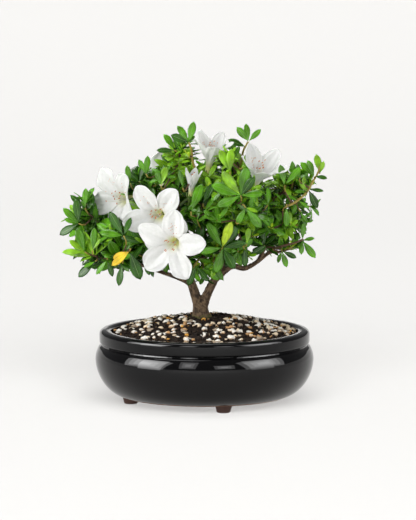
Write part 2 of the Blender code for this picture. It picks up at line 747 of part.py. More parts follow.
def stem_of(name, paths):
    """The path and first heading of a mass's one stem, which starts clear of its limb's tip."""
    limb = paths[MASSES[name].limb]
    tip, before = metres(limb[-1]), metres(limb[-2])
    heading = (tip - before).normalized()
    foot = tip + heading * GAP * MM
    centre = metres(MASSES[name].centre)
    way = (centre - foot).normalized()
    end = foot.lerp(centre, STEM_SHARE)
    return arc(foot, heading, end, (way + RISE * UP).normalized(), STEM_STATIONS), heading


def joints_on(path):
    """Places that one twig each may branch from, along a path below its leaves."""
    spans = zip(path[:-1], path[1:])
    return [a.lerp(b, share) for a, b in spans for share in JOINT_STATIONS][1:-1]


def grow_twigs(name, stem, heading, obstacles, rng):
    """Twigs that branch from one stem to the shoots' tips.

    Returns (path, shape, the joint that it grew from) of each.
    """
    root, end = TWIG_RADIUS
    stem_rings = twig_rings(stem, [root, root, end, end], first=heading)
    twigs = [(stem, loft(stem_rings), None)]
    joints = joints_on(stem)

    def cost(joint, tip):
        return (tip - joint).length + JOINT_DEPTH_COST * (joint - stem[0]).length

    tips = sorted(shoot_tips(MASSES[name], rng), key=lambda tip: (tip[0] - stem[0]).length)
    for tip, growth in tips:
        near = min(joints, key=lambda joint: cost(joint, tip))
        if (tip - near).length < SHORTEST_TWIG * MM:
            continue
        path = arc(near, (tip - near).normalized(), tip, growth, TWIG_STATIONS)
        shape = loft(twig_rings(path, [TWIG_START_RADIUS, end, end]))
        if in_clearing(tip) or not stays(shape, name, obstacles):
            shape.free()
            continue
        twigs.append((path, shape, near))
        joints.remove(near)
        joints.extend(joints_on(path))
    return twigs


def whorl_directions(heading, rng):
    """The way that each of a whorl's leaves grows, in order round its shoot."""
    side = heading.orthogonal().normalized()
    start = rng.uniform(0, 360)
    for number in range(WHORL_LEAVES):
        turn = math.radians(start + number * 360 / WHORL_LEAVES)
        lean = math.radians(rng.uniform(*WHORL_LEANS[number % 2]))
        out = Matrix.Rotation(turn, 3, heading) @ side
        yield heading * math.cos(lean) + out * math.sin(lean)


def whorl(hub, heading, arms):
    """Leaves round a shoot's end as one body: a small hub with a thin leaf out of most sides.

    Each arm is a leaf's (direction, length), with length 0 where there is no room for one.
    """
    shape = bmesh.new()
    outs = [(direction - heading * direction.dot(heading)).normalized() for direction, _ in arms]
    half = heading * WHORL_HUB_HEIGHT / 2
    between = [(outs[number - 1] + out).normalized() for number, out in enumerate(outs)]
    high = [shape.verts.new(hub + (way * WHORL_HUB_RADIUS + half) * MM) for way in between]
    low = [shape.verts.new(hub + (way * WHORL_HUB_RADIUS - half) * MM) for way in between]
    shape.faces.new(high)
    shape.faces.new(low[::-1])
    for number, ((direction, length), out) in enumerate(zip(arms, outs)):
        after = (number + 1) % len(arms)
        a, b, c, d = high[number], high[after], low[number], low[after]
        if not length:
            shape.faces.new((a, c, d, b))
            continue
        across = heading.cross(out) * length * LEAF_SLIMNESS / 2
        widest = direction * length * LEAF_WIDEST + heading * LEAF_FOLD * across.length
        tip = shape.verts.new(hub + (direction - heading * LEAF_DROOP) * length * MM)
        right = shape.verts.new(hub + (widest - across) * MM)
        left = shape.verts.new(hub + (widest + across) * MM)
        upper = [(a, right, tip), (a, tip, b), (b, tip, left)]
        lower = [(c, tip, right), (c, d, tip), (d, left, tip)]
        for corners in [*upper, *lower, (a, c, right), (b, left, d)]:
            shape.faces.new(corners)
    return shape


def free_leaf(name, foot, direction, heading, obstacles, neighbours, rng):
    """The longest leaf that fits in a place, as (length, tree of its outer part), or None."""
    whole_length = LEAF_LENGTH * rng.uniform(*LEAF_VARIETY)
    upper = (heading - direction * heading.dot(direction)).normalized() + LEAF_SKY_LEAN * UP
    place = Matrix.Translation(foot) @ frame_along(direction, upper)
    for share in LEAF_ATTEMPTS:
        length = whole_length * share
        leaf = leaf_blade(length)
        leaf.transform(place)
        outer = tree_of_outer_part(leaf, foot + direction * length * MM)
        open_place = not in_clearing(foot + direction * length * LEAF_MIDDLE * MM)
        fits = open_place and stays(leaf, name, obstacles) and not touches(outer, neighbours)
        leaf.free()
        if fits:
            return length, outer
    return None


def build_foliage(name, stem, obstacles, collection, material, rng):
    """One mass: twigs by the branching rule, and leaves on each shoot, fused into one solid."""
    twigs = grow_twigs(name, *stem, obstacles, rng)
    pieces = new_collection(name + "_pieces")
    twig_trees = [BVHTree.FromBMesh(shape) for _, shape, _ in twigs]
    leaf_trees, leafless = [], set()
    for number, (path, _, _) in enumerate(twigs):
        heading = (path[-1] - path[-2]).normalized()
        others = twig_trees[:number] + twig_trees[number + 1 :]
        arms, own_trees = [], []
        for direction in whorl_directions(heading, rng):
            near = others + leaf_trees + own_trees
            found = free_leaf(name, path[-1], direction, heading, obstacles, near, rng)
            length, tree = found or (0, None)
            arms.append((direction, length))
            if tree:
                own_trees.append(tree)
        leaves = whorl(path[-1], heading, arms)
        if len(own_trees) < FEWEST_LEAVES or touches(BVHTree.FromBMesh(leaves), obstacles):
            leaves.free()
            leafless.add(number)
        else:
            object_from(leaves, "whorl", pieces)
            leaf_trees.extend(own_trees)
    whole = object_from(twigs[0][1], name, collection, material)
    borne_on = {tuple(joint) for _, _, joint in twigs[1:]}
    for number in range(len(twigs) - 1, 0, -1):
        path, shape, joint = twigs[number]
        bears_others = any(tuple(place) in borne_on for place in joints_on(path))
        if number in leafless and not bears_others:
            borne_on.discard(tuple(joint))
            shape.free()
        else:
            object_from(shape, "twig", pieces)
    print(name, "has", len(leaf_trees), "leaves on", len(twigs) - len(leafless), "twigs")
    return fuse(whole, pieces)


def set_over_own_middle(collection):
    """Move the whole model so that the origin is on the ground, at the middle of its bounding box."""
    corners = [vert.co for obj in collection.objects for vert in obj.data.vertices]
    middle = [(min(c[i] for c in corners) + max(c[i] for c in corners)) / 2 for i in range(2)]
    shift = Matrix.Translation((-middle[0], -middle[1], 0))
    for obj in collection.objects:
        obj.data.transform(shift)
        obj.data.update()
    print("middle of the pot, in mm:", [round(-value / MM, 3) for value in middle])


def main():
    clear_scene()
    parts = new_collection("azalea_bonsai")
    helpers = new_collection("helpers")
    glaze = new_material("black_glaze", (0.004, 0.004, 0.005), 0.06)
    clay = new_material("bare_clay", (0.07, 0.032, 0.02), 0.7)
    grit = new_material("soil_and_grit", (0.13, 0.08, 0.045), 0.95)
    bark = new_material("bark", (0.16, 0.10, 0.06), 0.85)
    leaf = new_material("leaf", (0.05, 0.18, 0.02), 0.4)
    petal = new_material("petal", (0.86, 0.87, 0.84), 0.6)
    build_pot(parts, glaze, clay)
    build_soil(parts, grit)
    paths = build_wood(parts, helpers, bark)
    blossoms = [
        build_blossom(name, bloom, paths, parts, helpers, petal) for name, bloom in BLOOMS.items()
    ]
    obstacles = [swollen_tree(obj) for obj in blossoms]
    for name, path in paths.items():
        room = tube("room_by_" + name, path, LIMB_SIDES, helpers, swell=GAP)
        obstacles.append(tree_of(room))
        bpy.data.objects.remove(room)
    stems = {name: stem_of(name, paths) for name in MASSES}
    rooms = {}
    for name, (stem, heading) in stems.items():
        room = loft(twig_rings(stem, [TWIG_RADIUS[0] + 2 * GAP] * len(stem), first=heading))
        rooms[name] = BVHTree.FromBMesh(room)
        room.free()
    for name, mass in MASSES.items():
        near = obstacles + [rooms[other] for other in rooms if other != name]
        build_foliage(name, stems[name], near, parts, leaf, random.Random(mass.seed))
    set_over_own_middle(parts)


main()
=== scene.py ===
"""A white azalea bonsai in bloom, in a round black glazed pot filled with soil and grit.

Blender 4.5, metres, +Z up; the side shown faces -Y. Sizes and places are in millimetres, measured
from the middle of the pot at the level of the ground, until Place turns them into the frame.
"""

from __future__ import annotations

import json
import logging
from collections.abc import Sequence
from dataclasses import dataclass, field
from enum import Enum
from math import atan2, cos, hypot, pi, radians, sin, sqrt
from random import Random
from typing import NamedTuple

import bpy
import numpy as np
from mathutils import Matrix, Vector, noise
from mathutils.bvhtree import BVHTree

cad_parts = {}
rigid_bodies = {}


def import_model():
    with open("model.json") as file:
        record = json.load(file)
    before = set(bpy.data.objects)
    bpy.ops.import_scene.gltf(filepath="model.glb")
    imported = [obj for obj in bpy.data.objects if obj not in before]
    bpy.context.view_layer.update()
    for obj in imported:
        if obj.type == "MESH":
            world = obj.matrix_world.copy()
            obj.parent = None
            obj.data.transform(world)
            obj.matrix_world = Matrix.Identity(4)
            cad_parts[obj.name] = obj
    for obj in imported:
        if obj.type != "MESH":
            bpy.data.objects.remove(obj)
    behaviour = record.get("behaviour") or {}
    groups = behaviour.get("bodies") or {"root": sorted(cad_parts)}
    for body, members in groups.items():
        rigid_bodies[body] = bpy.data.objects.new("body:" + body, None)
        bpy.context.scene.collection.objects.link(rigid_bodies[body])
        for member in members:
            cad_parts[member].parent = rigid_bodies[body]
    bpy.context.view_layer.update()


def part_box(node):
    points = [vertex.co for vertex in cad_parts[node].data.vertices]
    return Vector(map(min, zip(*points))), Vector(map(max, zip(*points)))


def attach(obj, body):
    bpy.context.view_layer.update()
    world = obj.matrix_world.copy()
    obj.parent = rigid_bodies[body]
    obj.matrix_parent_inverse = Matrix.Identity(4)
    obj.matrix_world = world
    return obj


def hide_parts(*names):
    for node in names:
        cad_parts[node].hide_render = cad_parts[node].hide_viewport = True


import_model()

log = logging.getLogger("azalea")

MM = 0.001
BODY = "root"
GAP = 0.3
UP = Vector((0, 0, 1))
GOLDEN_ANGLE = pi * (3 - sqrt(5))
CURVE_REACH = 0.36
Colour = tuple[float, float, float]
Pair = tuple[float, float]
Point = tuple[float, ...]
Array = np.ndarray
Path = list[Vector]
Piece = bpy.types.Object
Material = bpy.types.Material


# Shared tools


class Place:
    """The pot's own axis in the frame of the solids."""

    low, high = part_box("pot")
    axis = np.array([(low.x + high.x) / 2, (low.y + high.y) / 2, 0.0])

    @classmethod
    def points(cls, points: Array | Sequence[float]) -> Array:
        """Turn rows of x, y and z in millimetres from the pot's axis into metres in the frame."""
        return np.asarray(points, float) * MM + cls.axis

    @classmethod
    def point(cls, point: Sequence[float]) -> Vector:
        """Turn one point in millimetres into the frame."""
        return Vector(cls.points(point))


class Value:
    """A shader socket that can be used in arithmetic."""

    def __init__(self, graph: Graph, socket: bpy.types.NodeSocket) -> None:
        """Keep the graph that the socket belongs to, and the socket."""
        self.graph = graph
        self.socket = socket

    def _math(self, operation: str, first: Value | float, second: Value | float) -> Value:
        """Add one Math node."""
        return self.graph.node("Math", {"operation": operation}, {0: first, 1: second})

    def __add__(self, other: Value | float) -> Value:
        """Sum."""
        return self._math("ADD", self, other)

    def __sub__(self, other: Value | float) -> Value:
        """Difference."""
        return self._math("SUBTRACT", self, other)

    def __rsub__(self, other: float) -> Value:
        """Difference from a number."""
        return self._math("SUBTRACT", other, self)

    def __mul__(self, other: Value | float) -> Value:
        """Product."""
        return self._math("MULTIPLY", self, other)

    __radd__ = __add__
    __rmul__ = __mul__


class Graph:
    """The nodes of one material."""

    def __init__(self, name: str) -> None:
        """Start a material whose one shader is the principled one.

        Args:
            name: The material's name.
        """
        self.material = bpy.data.materials.new(name)
        self.material.use_nodes = True
        self.tree = self.material.node_tree
        self.shader = self.tree.nodes["Principled BSDF"]

    def node(self, kind: str, settings: dict, inputs: dict, output: int | str = 0) -> Value:
        """Add a node.

        Args:
            kind: The node's type, without the words that all types begin with.
            settings: Properties, which are set first.
            inputs: Numbers, colours or values for the sockets, by index or name.
            output: The socket to return.

        Returns:
            The node's output.
        """
        made = self.tree.nodes.new("ShaderNode" + kind)
        for name, setting in settings.items():
            setattr(made, name, setting)
        for key, given in inputs.items():
            self.feed(made.inputs[key], given)
        return Value(self, made.outputs[output])

    def feed(self, socket: bpy.types.NodeSocket, given: Value | float | Colour) -> None:
        """Link a value to a socket, or set the socket to a number or colour."""
        if isinstance(given, Value):
            self.tree.links.new(given.socket, socket)
        elif isinstance(given, (int, float)):
            socket.default_value = given
        else:
            socket.default_value = (*given, 1.0)[: len(socket.default_value)]

    def surface(self, **given: Value | float | Colour) -> Material:
        """Set the shader's sockets, named with underscores for spaces, and return the material."""
        for name, value in given.items():
            self.feed(self.shader.inputs[name.replace("_", " ")], value)
        return self.material

    def coordinates(self, stretch: Sequence[float] = (1, 1, 1)) -> Value:
        """Object coordinates, multiplied by a factor along each axis."""
        plain = self.node("TexCoord", {}, {}, "Object")
        return self.node("VectorMath", {"operation": "MULTIPLY"}, {0: plain, 1: tuple(stretch)})

    def noise(self, where: Value, scale: float, detail: float = 3.0, rough: float = 0.5) -> Value:
        """Noise from 0 to 1 at a scale per metre."""
        inputs = {"Vector": where, "Scale": scale, "Detail": detail, "Roughness": rough}
        return self.node("TexNoise", {}, inputs, "Fac")

    def mix(self, share: Value | float, first: Value | Colour, second: Value | Colour) -> Value:
        """Blend two colours by a share of the second."""
        return self.node("Mix", {"data_type": "RGBA"}, {0: share, 6: first, 7: second}, 2)

    def between(self, value: Value, low: float, high: float) -> Value:
        """How far a value has come from low to high, kept within 0 and 1."""
        settings = {"interpolation_type": "SMOOTHSTEP"}
        inputs = {"Value": value, "From Min": low, "From Max": high}
        return self.node("MapRange", settings, inputs, "Result")

    def bump(self, height: Value, strength: float, distance: float) -> Value:
        """A normal bent by a height given as a share of a distance in metres."""
        inputs = {"Height": height, "Strength": strength, "Distance": distance}
        return self.node("Bump", {}, inputs, "Normal")


def put(name: str, data: bpy.types.ID) -> Piece:
    """Stand data in the scene under a name."""
    made = bpy.data.objects.new(name, data)
    bpy.context.scene.collection.objects.link(made)
    return made


class Batch:
    """Many small shapes gathered into one mesh."""

    def __init__(self) -> None:
        """Start with nothing."""
        self.points: list[Array] = []
        self.faces: list[Array] = []
        self.values: list[Array] = []
        self.size = 0

    def add(self, points: Array, *faces: Array, value: Array | None = None) -> None:
        """Add one shape.

        Args:
            points: Its corners in millimetres.
            faces: Arrays of corner numbers, each array with faces of one number of sides.
            value: A number for each corner, kept as the mesh's attribute.
        """
        self.faces.extend(np.asarray(group) + self.size for group in faces if len(group))
        self.points.append(np.asarray(points, float))
        self.size += len(points)
        if value is not None:
            self.values.append(np.asarray(value, float))

    def build(self, name: str, material: Material, attribute: str = "") -> Piece:
        """Make the mesh.

        Args:
            name: The piece's name.
            material: Its finish.
            attribute: The name under which the corners' values are kept, if there are any.

        Returns:
            The piece, in the frame of the solids.
        """
        mesh = bpy.data.meshes.new(name)
        faces = [tuple(face) for group in self.faces for face in group.tolist()]
        mesh.from_pydata(Place.points(np.concatenate(self.points)).tolist(), [], faces)
        if attribute:
            kept = mesh.attributes.new(attribute, "FLOAT", "POINT")
            kept.data.foreach_set("value", np.concatenate(self.values))
        mesh.polygons.foreach_set("use_smooth", [True] * len(mesh.polygons))
        mesh.materials.append(material)
        return put(name, mesh)


def deselect() -> None:
    """Leave nothing selected."""
    bpy.ops.object.select_all(action="DESELECT")


def select(piece: Piece) -> None:
    """Select one piece and make it the active one."""
    deselect()
    piece.select_set(True)
    bpy.context.view_layer.objects.active = piece


def settle(piece: Piece) -> Piece:
    """Move a piece's place into its mesh."""
    select(piece)
    bpy.ops.object.transform_apply(location=True, rotation=True, scale=True)
    return piece


def lathe(name: str, profile: Sequence[Point], steps: int, seam: bool) -> Piece:
    """Draw a profile from point to point and spin it round the pot's axis.

    Args:
        name: The piece's name.
        profile: (radius, height) points in millimetres.
        steps: Steps in the whole turn.
        seam: Whether the profile is closed, so that its last point is joined to its first.

    Returns:
        The turned piece.
    """
    deselect()
    bpy.ops.mesh.primitive_plane_add(size=MM, location=Place.point((0, 0, 0)))
    piece = bpy.context.object
    piece.name = piece.data.name = name
    settle(piece)
    bpy.ops.object.mode_set(mode="EDIT")
    bpy.ops.mesh.select_all(action="SELECT")
    bpy.ops.mesh.merge(type="CENTER")
    radius, height = profile[0]
    bpy.ops.transform.translate(value=(radius * MM, 0, height * MM))
    for before, after in zip(profile, profile[1:]):
        move = ((after[0] - before[0]) * MM, 0, (after[1] - before[1]) * MM)
        bpy.ops.mesh.extrude_region_move(TRANSFORM_OT_translate={"value": move})
    bpy.ops.mesh.select_all(action="SELECT")
    if seam:
        bpy.ops.mesh.remove_doubles(threshold=0.01 * MM)
        bpy.ops.mesh.select_all(action="SELECT")
    bpy.ops.mesh.spin(steps=steps, angle=2 * pi, center=Place.point((0, 0, 0)), axis=(0, 0, 1))
    bpy.ops.mesh.select_all(action="SELECT")
    bpy.ops.mesh.remove_doubles(threshold=0.01 * MM)
    bpy.ops.mesh.normals_make_consistent(inside=False)
    bpy.ops.object.mode_set(mode="OBJECT")
    bpy.ops.object.shade_smooth()
    return piece


def join(name: str, pieces: Sequence[Piece]) -> Piece:
    """Join pieces into the first one, under a name."""
    select(pieces[0])
    for piece in pieces:
        piece.select_set(True)
    bpy.ops.object.join()
    joined = bpy.context.object
    joined.name = joined.data.name = name
    return joined


def modify(piece: Piece, kind: str, **settings: float | str | bool) -> None:
    """Add a modifier with settings and apply it.

    Args:
        piece: The piece that it shapes.
        kind: The modifier's type.
        settings: Its properties.
    """
    select(piece)
    modifier = piece.modifiers.new(kind.lower(), kind)
    for name, setting in settings.items():
        setattr(modifier, name, setting)
    bpy.ops.object.modifier_apply(modifier=modifier.name)


def dress(piece: Piece, slot: str, *nodes: str) -> Piece:
    """Make a piece ride on the plant's body, and hide the solids that it stands for.

    Args:
        piece: The piece as made.
        slot: Its slot of material, which is not used.
        nodes: The solids that it replaces.

    Returns:
        The piece.
    """
    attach(piece, BODY)
    if nodes:
        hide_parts(*nodes)
    triangles = sum(len(face.vertices) - 2 for face in piece.data.polygons)
    log.info("%s: %d triangles", piece.name, triangles)
    return piece


def smooth_path(points: Sequence[Sequence[float]], steps: int) -> Path:
    """A curve through points.

    Args:
        points: Knots of any number of coordinates.
        steps: Points made from each knot to the next.

    Returns:
        The points of the curve, both ends included.
    """
    knots = [Vector(point) for point in points]
    knots = [2 * knots[0] - knots[1], *knots, 2 * knots[-1] - knots[-2]]
    path = []
    for a, b, c, d in zip(knots, knots[1:], knots[2:], knots[3:]):
        for step in range(steps):
            t = step / steps
            bend = (2 * a - 5 * b + 4 * c - d) * t**2 + (3 * b - a - 3 * c + d) * t**3
            path.append(0.5 * (2 * b + (c - a) * t + bend))
    return [*path, knots[-2]]


def point_along(path: Path, share: float) -> Vector:
    """The point at a share of a path's points."""
    place = share * (len(path) - 1)
    low = min(int(place), len(path) - 2)
    return path[low].lerp(path[low + 1], place - low)


def arc(start: Vector, heading: Vector, end: Vector, last: Vector, count: int) -> Path:
    """Points of a curve that leaves one place and arrives at another, as headed.

    Args:
        start: Where it begins.
        heading: The way that it leaves, as a unit vector.
        end: Where it ends.
        last: The way that it arrives, as a unit vector.
        count: How many points it has.

    Returns:
        Its points, both ends included.
    """
    reach = (end - start).length * CURVE_REACH
    first, second = start + heading * reach, end - last * reach
    shares = [number / (count - 1) for number in range(count)]
    return [
        (1 - t) ** 3 * start + 3 * (1 - t) ** 2 * t * first + 3 * (1 - t) * t * t * second + t**3 * end
        for t in shares
    ]


def grid_faces(rows: int, columns: int) -> Array:
    """The four-sided faces between a grid's corners, which are numbered row by row."""
    first = np.arange((rows - 1) * columns).reshape(rows - 1, columns)[:, :-1].reshape(-1)
    return np.stack([first, first + columns, first + columns + 1, first + 1], -1)


def tube(path: Path, radii: Sequence[float], sides: int) -> tuple[Array, ...]:
    """A closed tube along a path.

    Args:
        path: Points in millimetres.
        radii: The radius at each point.
        sides: Corners of each ring.

    Returns:
        Its corners, its four-sided faces, and its two end faces.
    """
    headings = [(b - a).normalized() for a, b in zip(path, path[1:])]
    headings.append(headings[-1])
    out = headings[0].orthogonal().normalized()
    points = []
    for number, (place, radius) in enumerate(zip(path, radii)):
        if number:
            out = headings[number - 1].rotation_difference(headings[number]) @ out
        side = headings[number].cross(out)
        for corner in range(sides):
            turn = 2 * pi * corner / sides
            points.append(place + (out * cos(turn) + side * sin(turn)) * radius)
    base = np.arange(len(path) - 1)[:, None] * sides
    here = np.arange(sides)
    after = (here + 1) % sides
    quads = np.stack([base + here, base + after, base + sides + after, base + sides + here], -1)
    last = (len(path) - 1) * sides
    return np.array(points), quads.reshape(-1, 4), np.array([here[::-1], last + here])


# Finishes


@dataclass(frozen=True)
class GlazeFinish:
    """Deep black glaze over brown clay, which stays bare on the underside and the feet."""

    glaze: Colour = (0.0012, 0.0012, 0.0014)
    line: Colour = (0.1, 0.045, 0.022)
    clay: Colour = (0.085, 0.032, 0.02)
    bare_height: float = 6.3
    line_height: float = 7.2
    glaze_roughness: float = 0.035
    clay_roughness: float = 0.85
    shine: float = 0.235

    def material(self) -> Material:
        """The pot's finish."""
        graph = Graph("black_glaze")
        where = graph.coordinates()
        height = graph.node("SeparateXYZ", {}, {0: where}, "Z")
        ragged = height + (graph.noise(where, 260, 2) - 0.5) * 0.9 * MM
        glazed = graph.between(ragged, self.bare_height * MM, self.line_height * MM)
        thick = graph.between(ragged, self.line_height * MM, (self.line_height + 0.5) * MM)
        grains = graph.noise(where, 900, 4, 0.7)
        edge = graph.mix(glazed, graph.mix(grains, self.clay, self.line), self.line)
        relief = graph.noise(where, 22, 1) * thick + grains * (1 - thick)
        return graph.surface(
            Base_Color=graph.mix(thick, edge, self.glaze),
            Roughness=self.clay_roughness + thick * (self.glaze_roughness - self.clay_roughness),
            Normal=graph.bump(relief, 0.35, 0.35 * MM),
            Specular_IOR_Level=self.shine,
        )


@dataclass(frozen=True)
class EarthFinish:
    """Loose dark soil."""

    name: str = "soil_and_grit"
    dark: Colour = (0.006, 0.0035, 0.002)
    light: Colour = (0.07, 0.036, 0.018)
    roughness: float = 0.95
    grain: float = 900.0

    def material(self) -> Material:
        """The soil's finish."""
        graph = Graph(self.name)
        grains = graph.noise(graph.coordinates(), self.grain, 5, 0.75)
        colour = graph.mix(graph.between(grains, 0.42, 0.72), self.dark, self.light)
        bump = graph.bump(grains, 0.9, 0.6 * MM)
        return graph.surface(Base_Color=colour, Roughness=self.roughness, Normal=bump)


@dataclass(frozen=True)
class StoneFinish:
    """A pebble or grain of burnt clay, mottled, with soil stains at its sides and painted shade: sides darker
    and top paler as if lit from above.
    """

    name: str
    pale: Colour
    dark: Colour
    roughness: float = 0.8

    def material(self) -> Material:
        """The grain's finish."""
        graph = Graph(self.name)
        where = graph.coordinates()
        top = graph.node("Attribute", {"attribute_name": "top"}, {}, "Fac")
        blotches = graph.noise(where, 320, 4, 0.65)
        # Painted shade: the grain's sides darken and its top pales as if lit from above, together with real
        # soil stains and random mottling.
        stain_and_shade = graph.between(blotches + (0.62 - top) * 0.75, 0.42, 0.72)
        colour = graph.mix(stain_and_shade, self.pale, self.dark)
        bump = graph.bump(graph.noise(where, 1500, 3, 0.7), 0.6, 0.25 * MM)
        return graph.surface(Base_Color=colour, Roughness=self.roughness, Normal=bump)


@dataclass(frozen=True)
class BarkFinish:
    """Grey-brown bark, darker in its furrows and a little mossy at the foot."""

    furrow: Colour = (0.03, 0.018, 0.01)
    ridge: Colour = (0.185, 0.12, 0.066)
    moss: Colour = (0.1, 0.12, 0.025)
    moss_height: float = 79.0
    roughness: float = 0.88

    def material(self) -> Material:
        """The limbs' finish."""
        graph = Graph("bark")
        where = graph.coordinates()
        relief = graph.node("Attribute", {"attribute_name": "relief"}, {}, "Fac")
        patches = graph.noise(where, 260, 4, 0.6)
        tone = graph.between(relief * 0.6 + patches, 0.45, 1.15)
        bark = graph.mix(tone, self.furrow, self.ridge)
        height = graph.node("SeparateXYZ", {}, {0: where}, "Z")
        low = 1 - graph.between(height, 72 * MM, self.moss_height * MM)
        mossy = graph.between(low + graph.noise(where, 420, 3), 1.3, 1.55)
        fine = graph.noise(graph.coordinates((1, 1, 0.35)), 1900, 4, 0.7)
        return graph.surface(
            Base_Color=graph.mix(mossy * 0.55, bark, self.moss),
            Roughness=self.roughness,
            Normal=graph.bump(fine, 0.7, 0.35 * MM),
        )


@dataclass(frozen=True)
class LeafFinish:
    """A glossy leaf or a young shoot of one tint."""

    name: str
    colour: Colour
    roughness: float = 0.25
    variety: float = 0.38
    coat: float = 0.06
    shine: float = 0.38

    def material(self) -> Material:
        """The leaves' finish: the tint, a little darker or paler from place to place."""
        graph = Graph(self.name)
        where = graph.coordinates()
        darker = tuple(channel * (1 - self.variety) for channel in self.colour)
        paler = tuple(min(1, channel * (1 + self.variety)) for channel in self.colour)
        skin = graph.noise(where, 1400, 2)
        return graph.surface(
            Base_Color=graph.mix(graph.between(graph.noise(where, 95, 2), 0.3, 0.7), darker, paler),
            Roughness=self.roughness + (skin - 0.5) * 0.2,
            Normal=graph.bump(skin, 0.25, 0.12 * MM),
            Specular_IOR_Level=self.shine,
            Coat_Weight=self.coat,
            Coat_Roughness=0.25,
        )


@dataclass(frozen=True)
class PetalFinish:
    """Silky white petals, greenish yellow down in the tube, with a painted glow there for light that comes
    through them.
    """

    white: Colour = (0.77, 0.775, 0.76)
    throat: Colour = (0.74, 0.76, 0.34)
    shade: Colour = (0.68, 0.7, 0.66)
    glow: Colour = (0.15, 0.14, 0.05)
    no_glow: Colour = (0.0, 0.0, 0.0)
    roughness: float = 0.5

    def material(self) -> Material:
        """The petals' finish; the attribute says how far out a point lies."""
        graph = Graph("petal")
        out = graph.node("Attribute", {"attribute_name": "out"}, {}, "Fac")
        veins = graph.noise(graph.coordinates(), 420, 2, 0.4)
        white = graph.mix(graph.between(veins, 0.35, 0.75) * 0.5, self.white, self.shade)
        return graph.surface(
            Base_Color=graph.mix(graph.between(out, 0.12, 0.46), self.throat, white),
            Roughness=self.roughness,
            Normal=graph.bump(veins, 0.3, 0.25 * MM),
            # Painted light: an emission glow in the tube stands in for light that comes through the petals.
            Emission_Color=graph.mix(graph.between(out, 0.06, 0.3), self.glow, self.no_glow),
            Emission_Strength=1.0,
            Subsurface_Weight=0.25,
            Subsurface_Radius=(1.0, 1.0, 0.9),
            Subsurface_Scale=1.5 * MM,
        )


@dataclass(frozen=True)
class PlainFinish:
    """A small part of one colour with a faint grain."""

    name: str
    colour: Colour
    roughness: float = 0.6

    def material(self) -> Material:
        """The small part's finish."""
        graph = Graph(self.name)
        grain = graph.noise(graph.coordinates(), 1200, 2)
        darker = tuple(channel * 0.75 for channel in self.colour)
        colour = graph.mix(grain, darker, self.colour)
        return graph.surface(Base_Color=colour, Roughness=self.roughness)


# Pot and soil


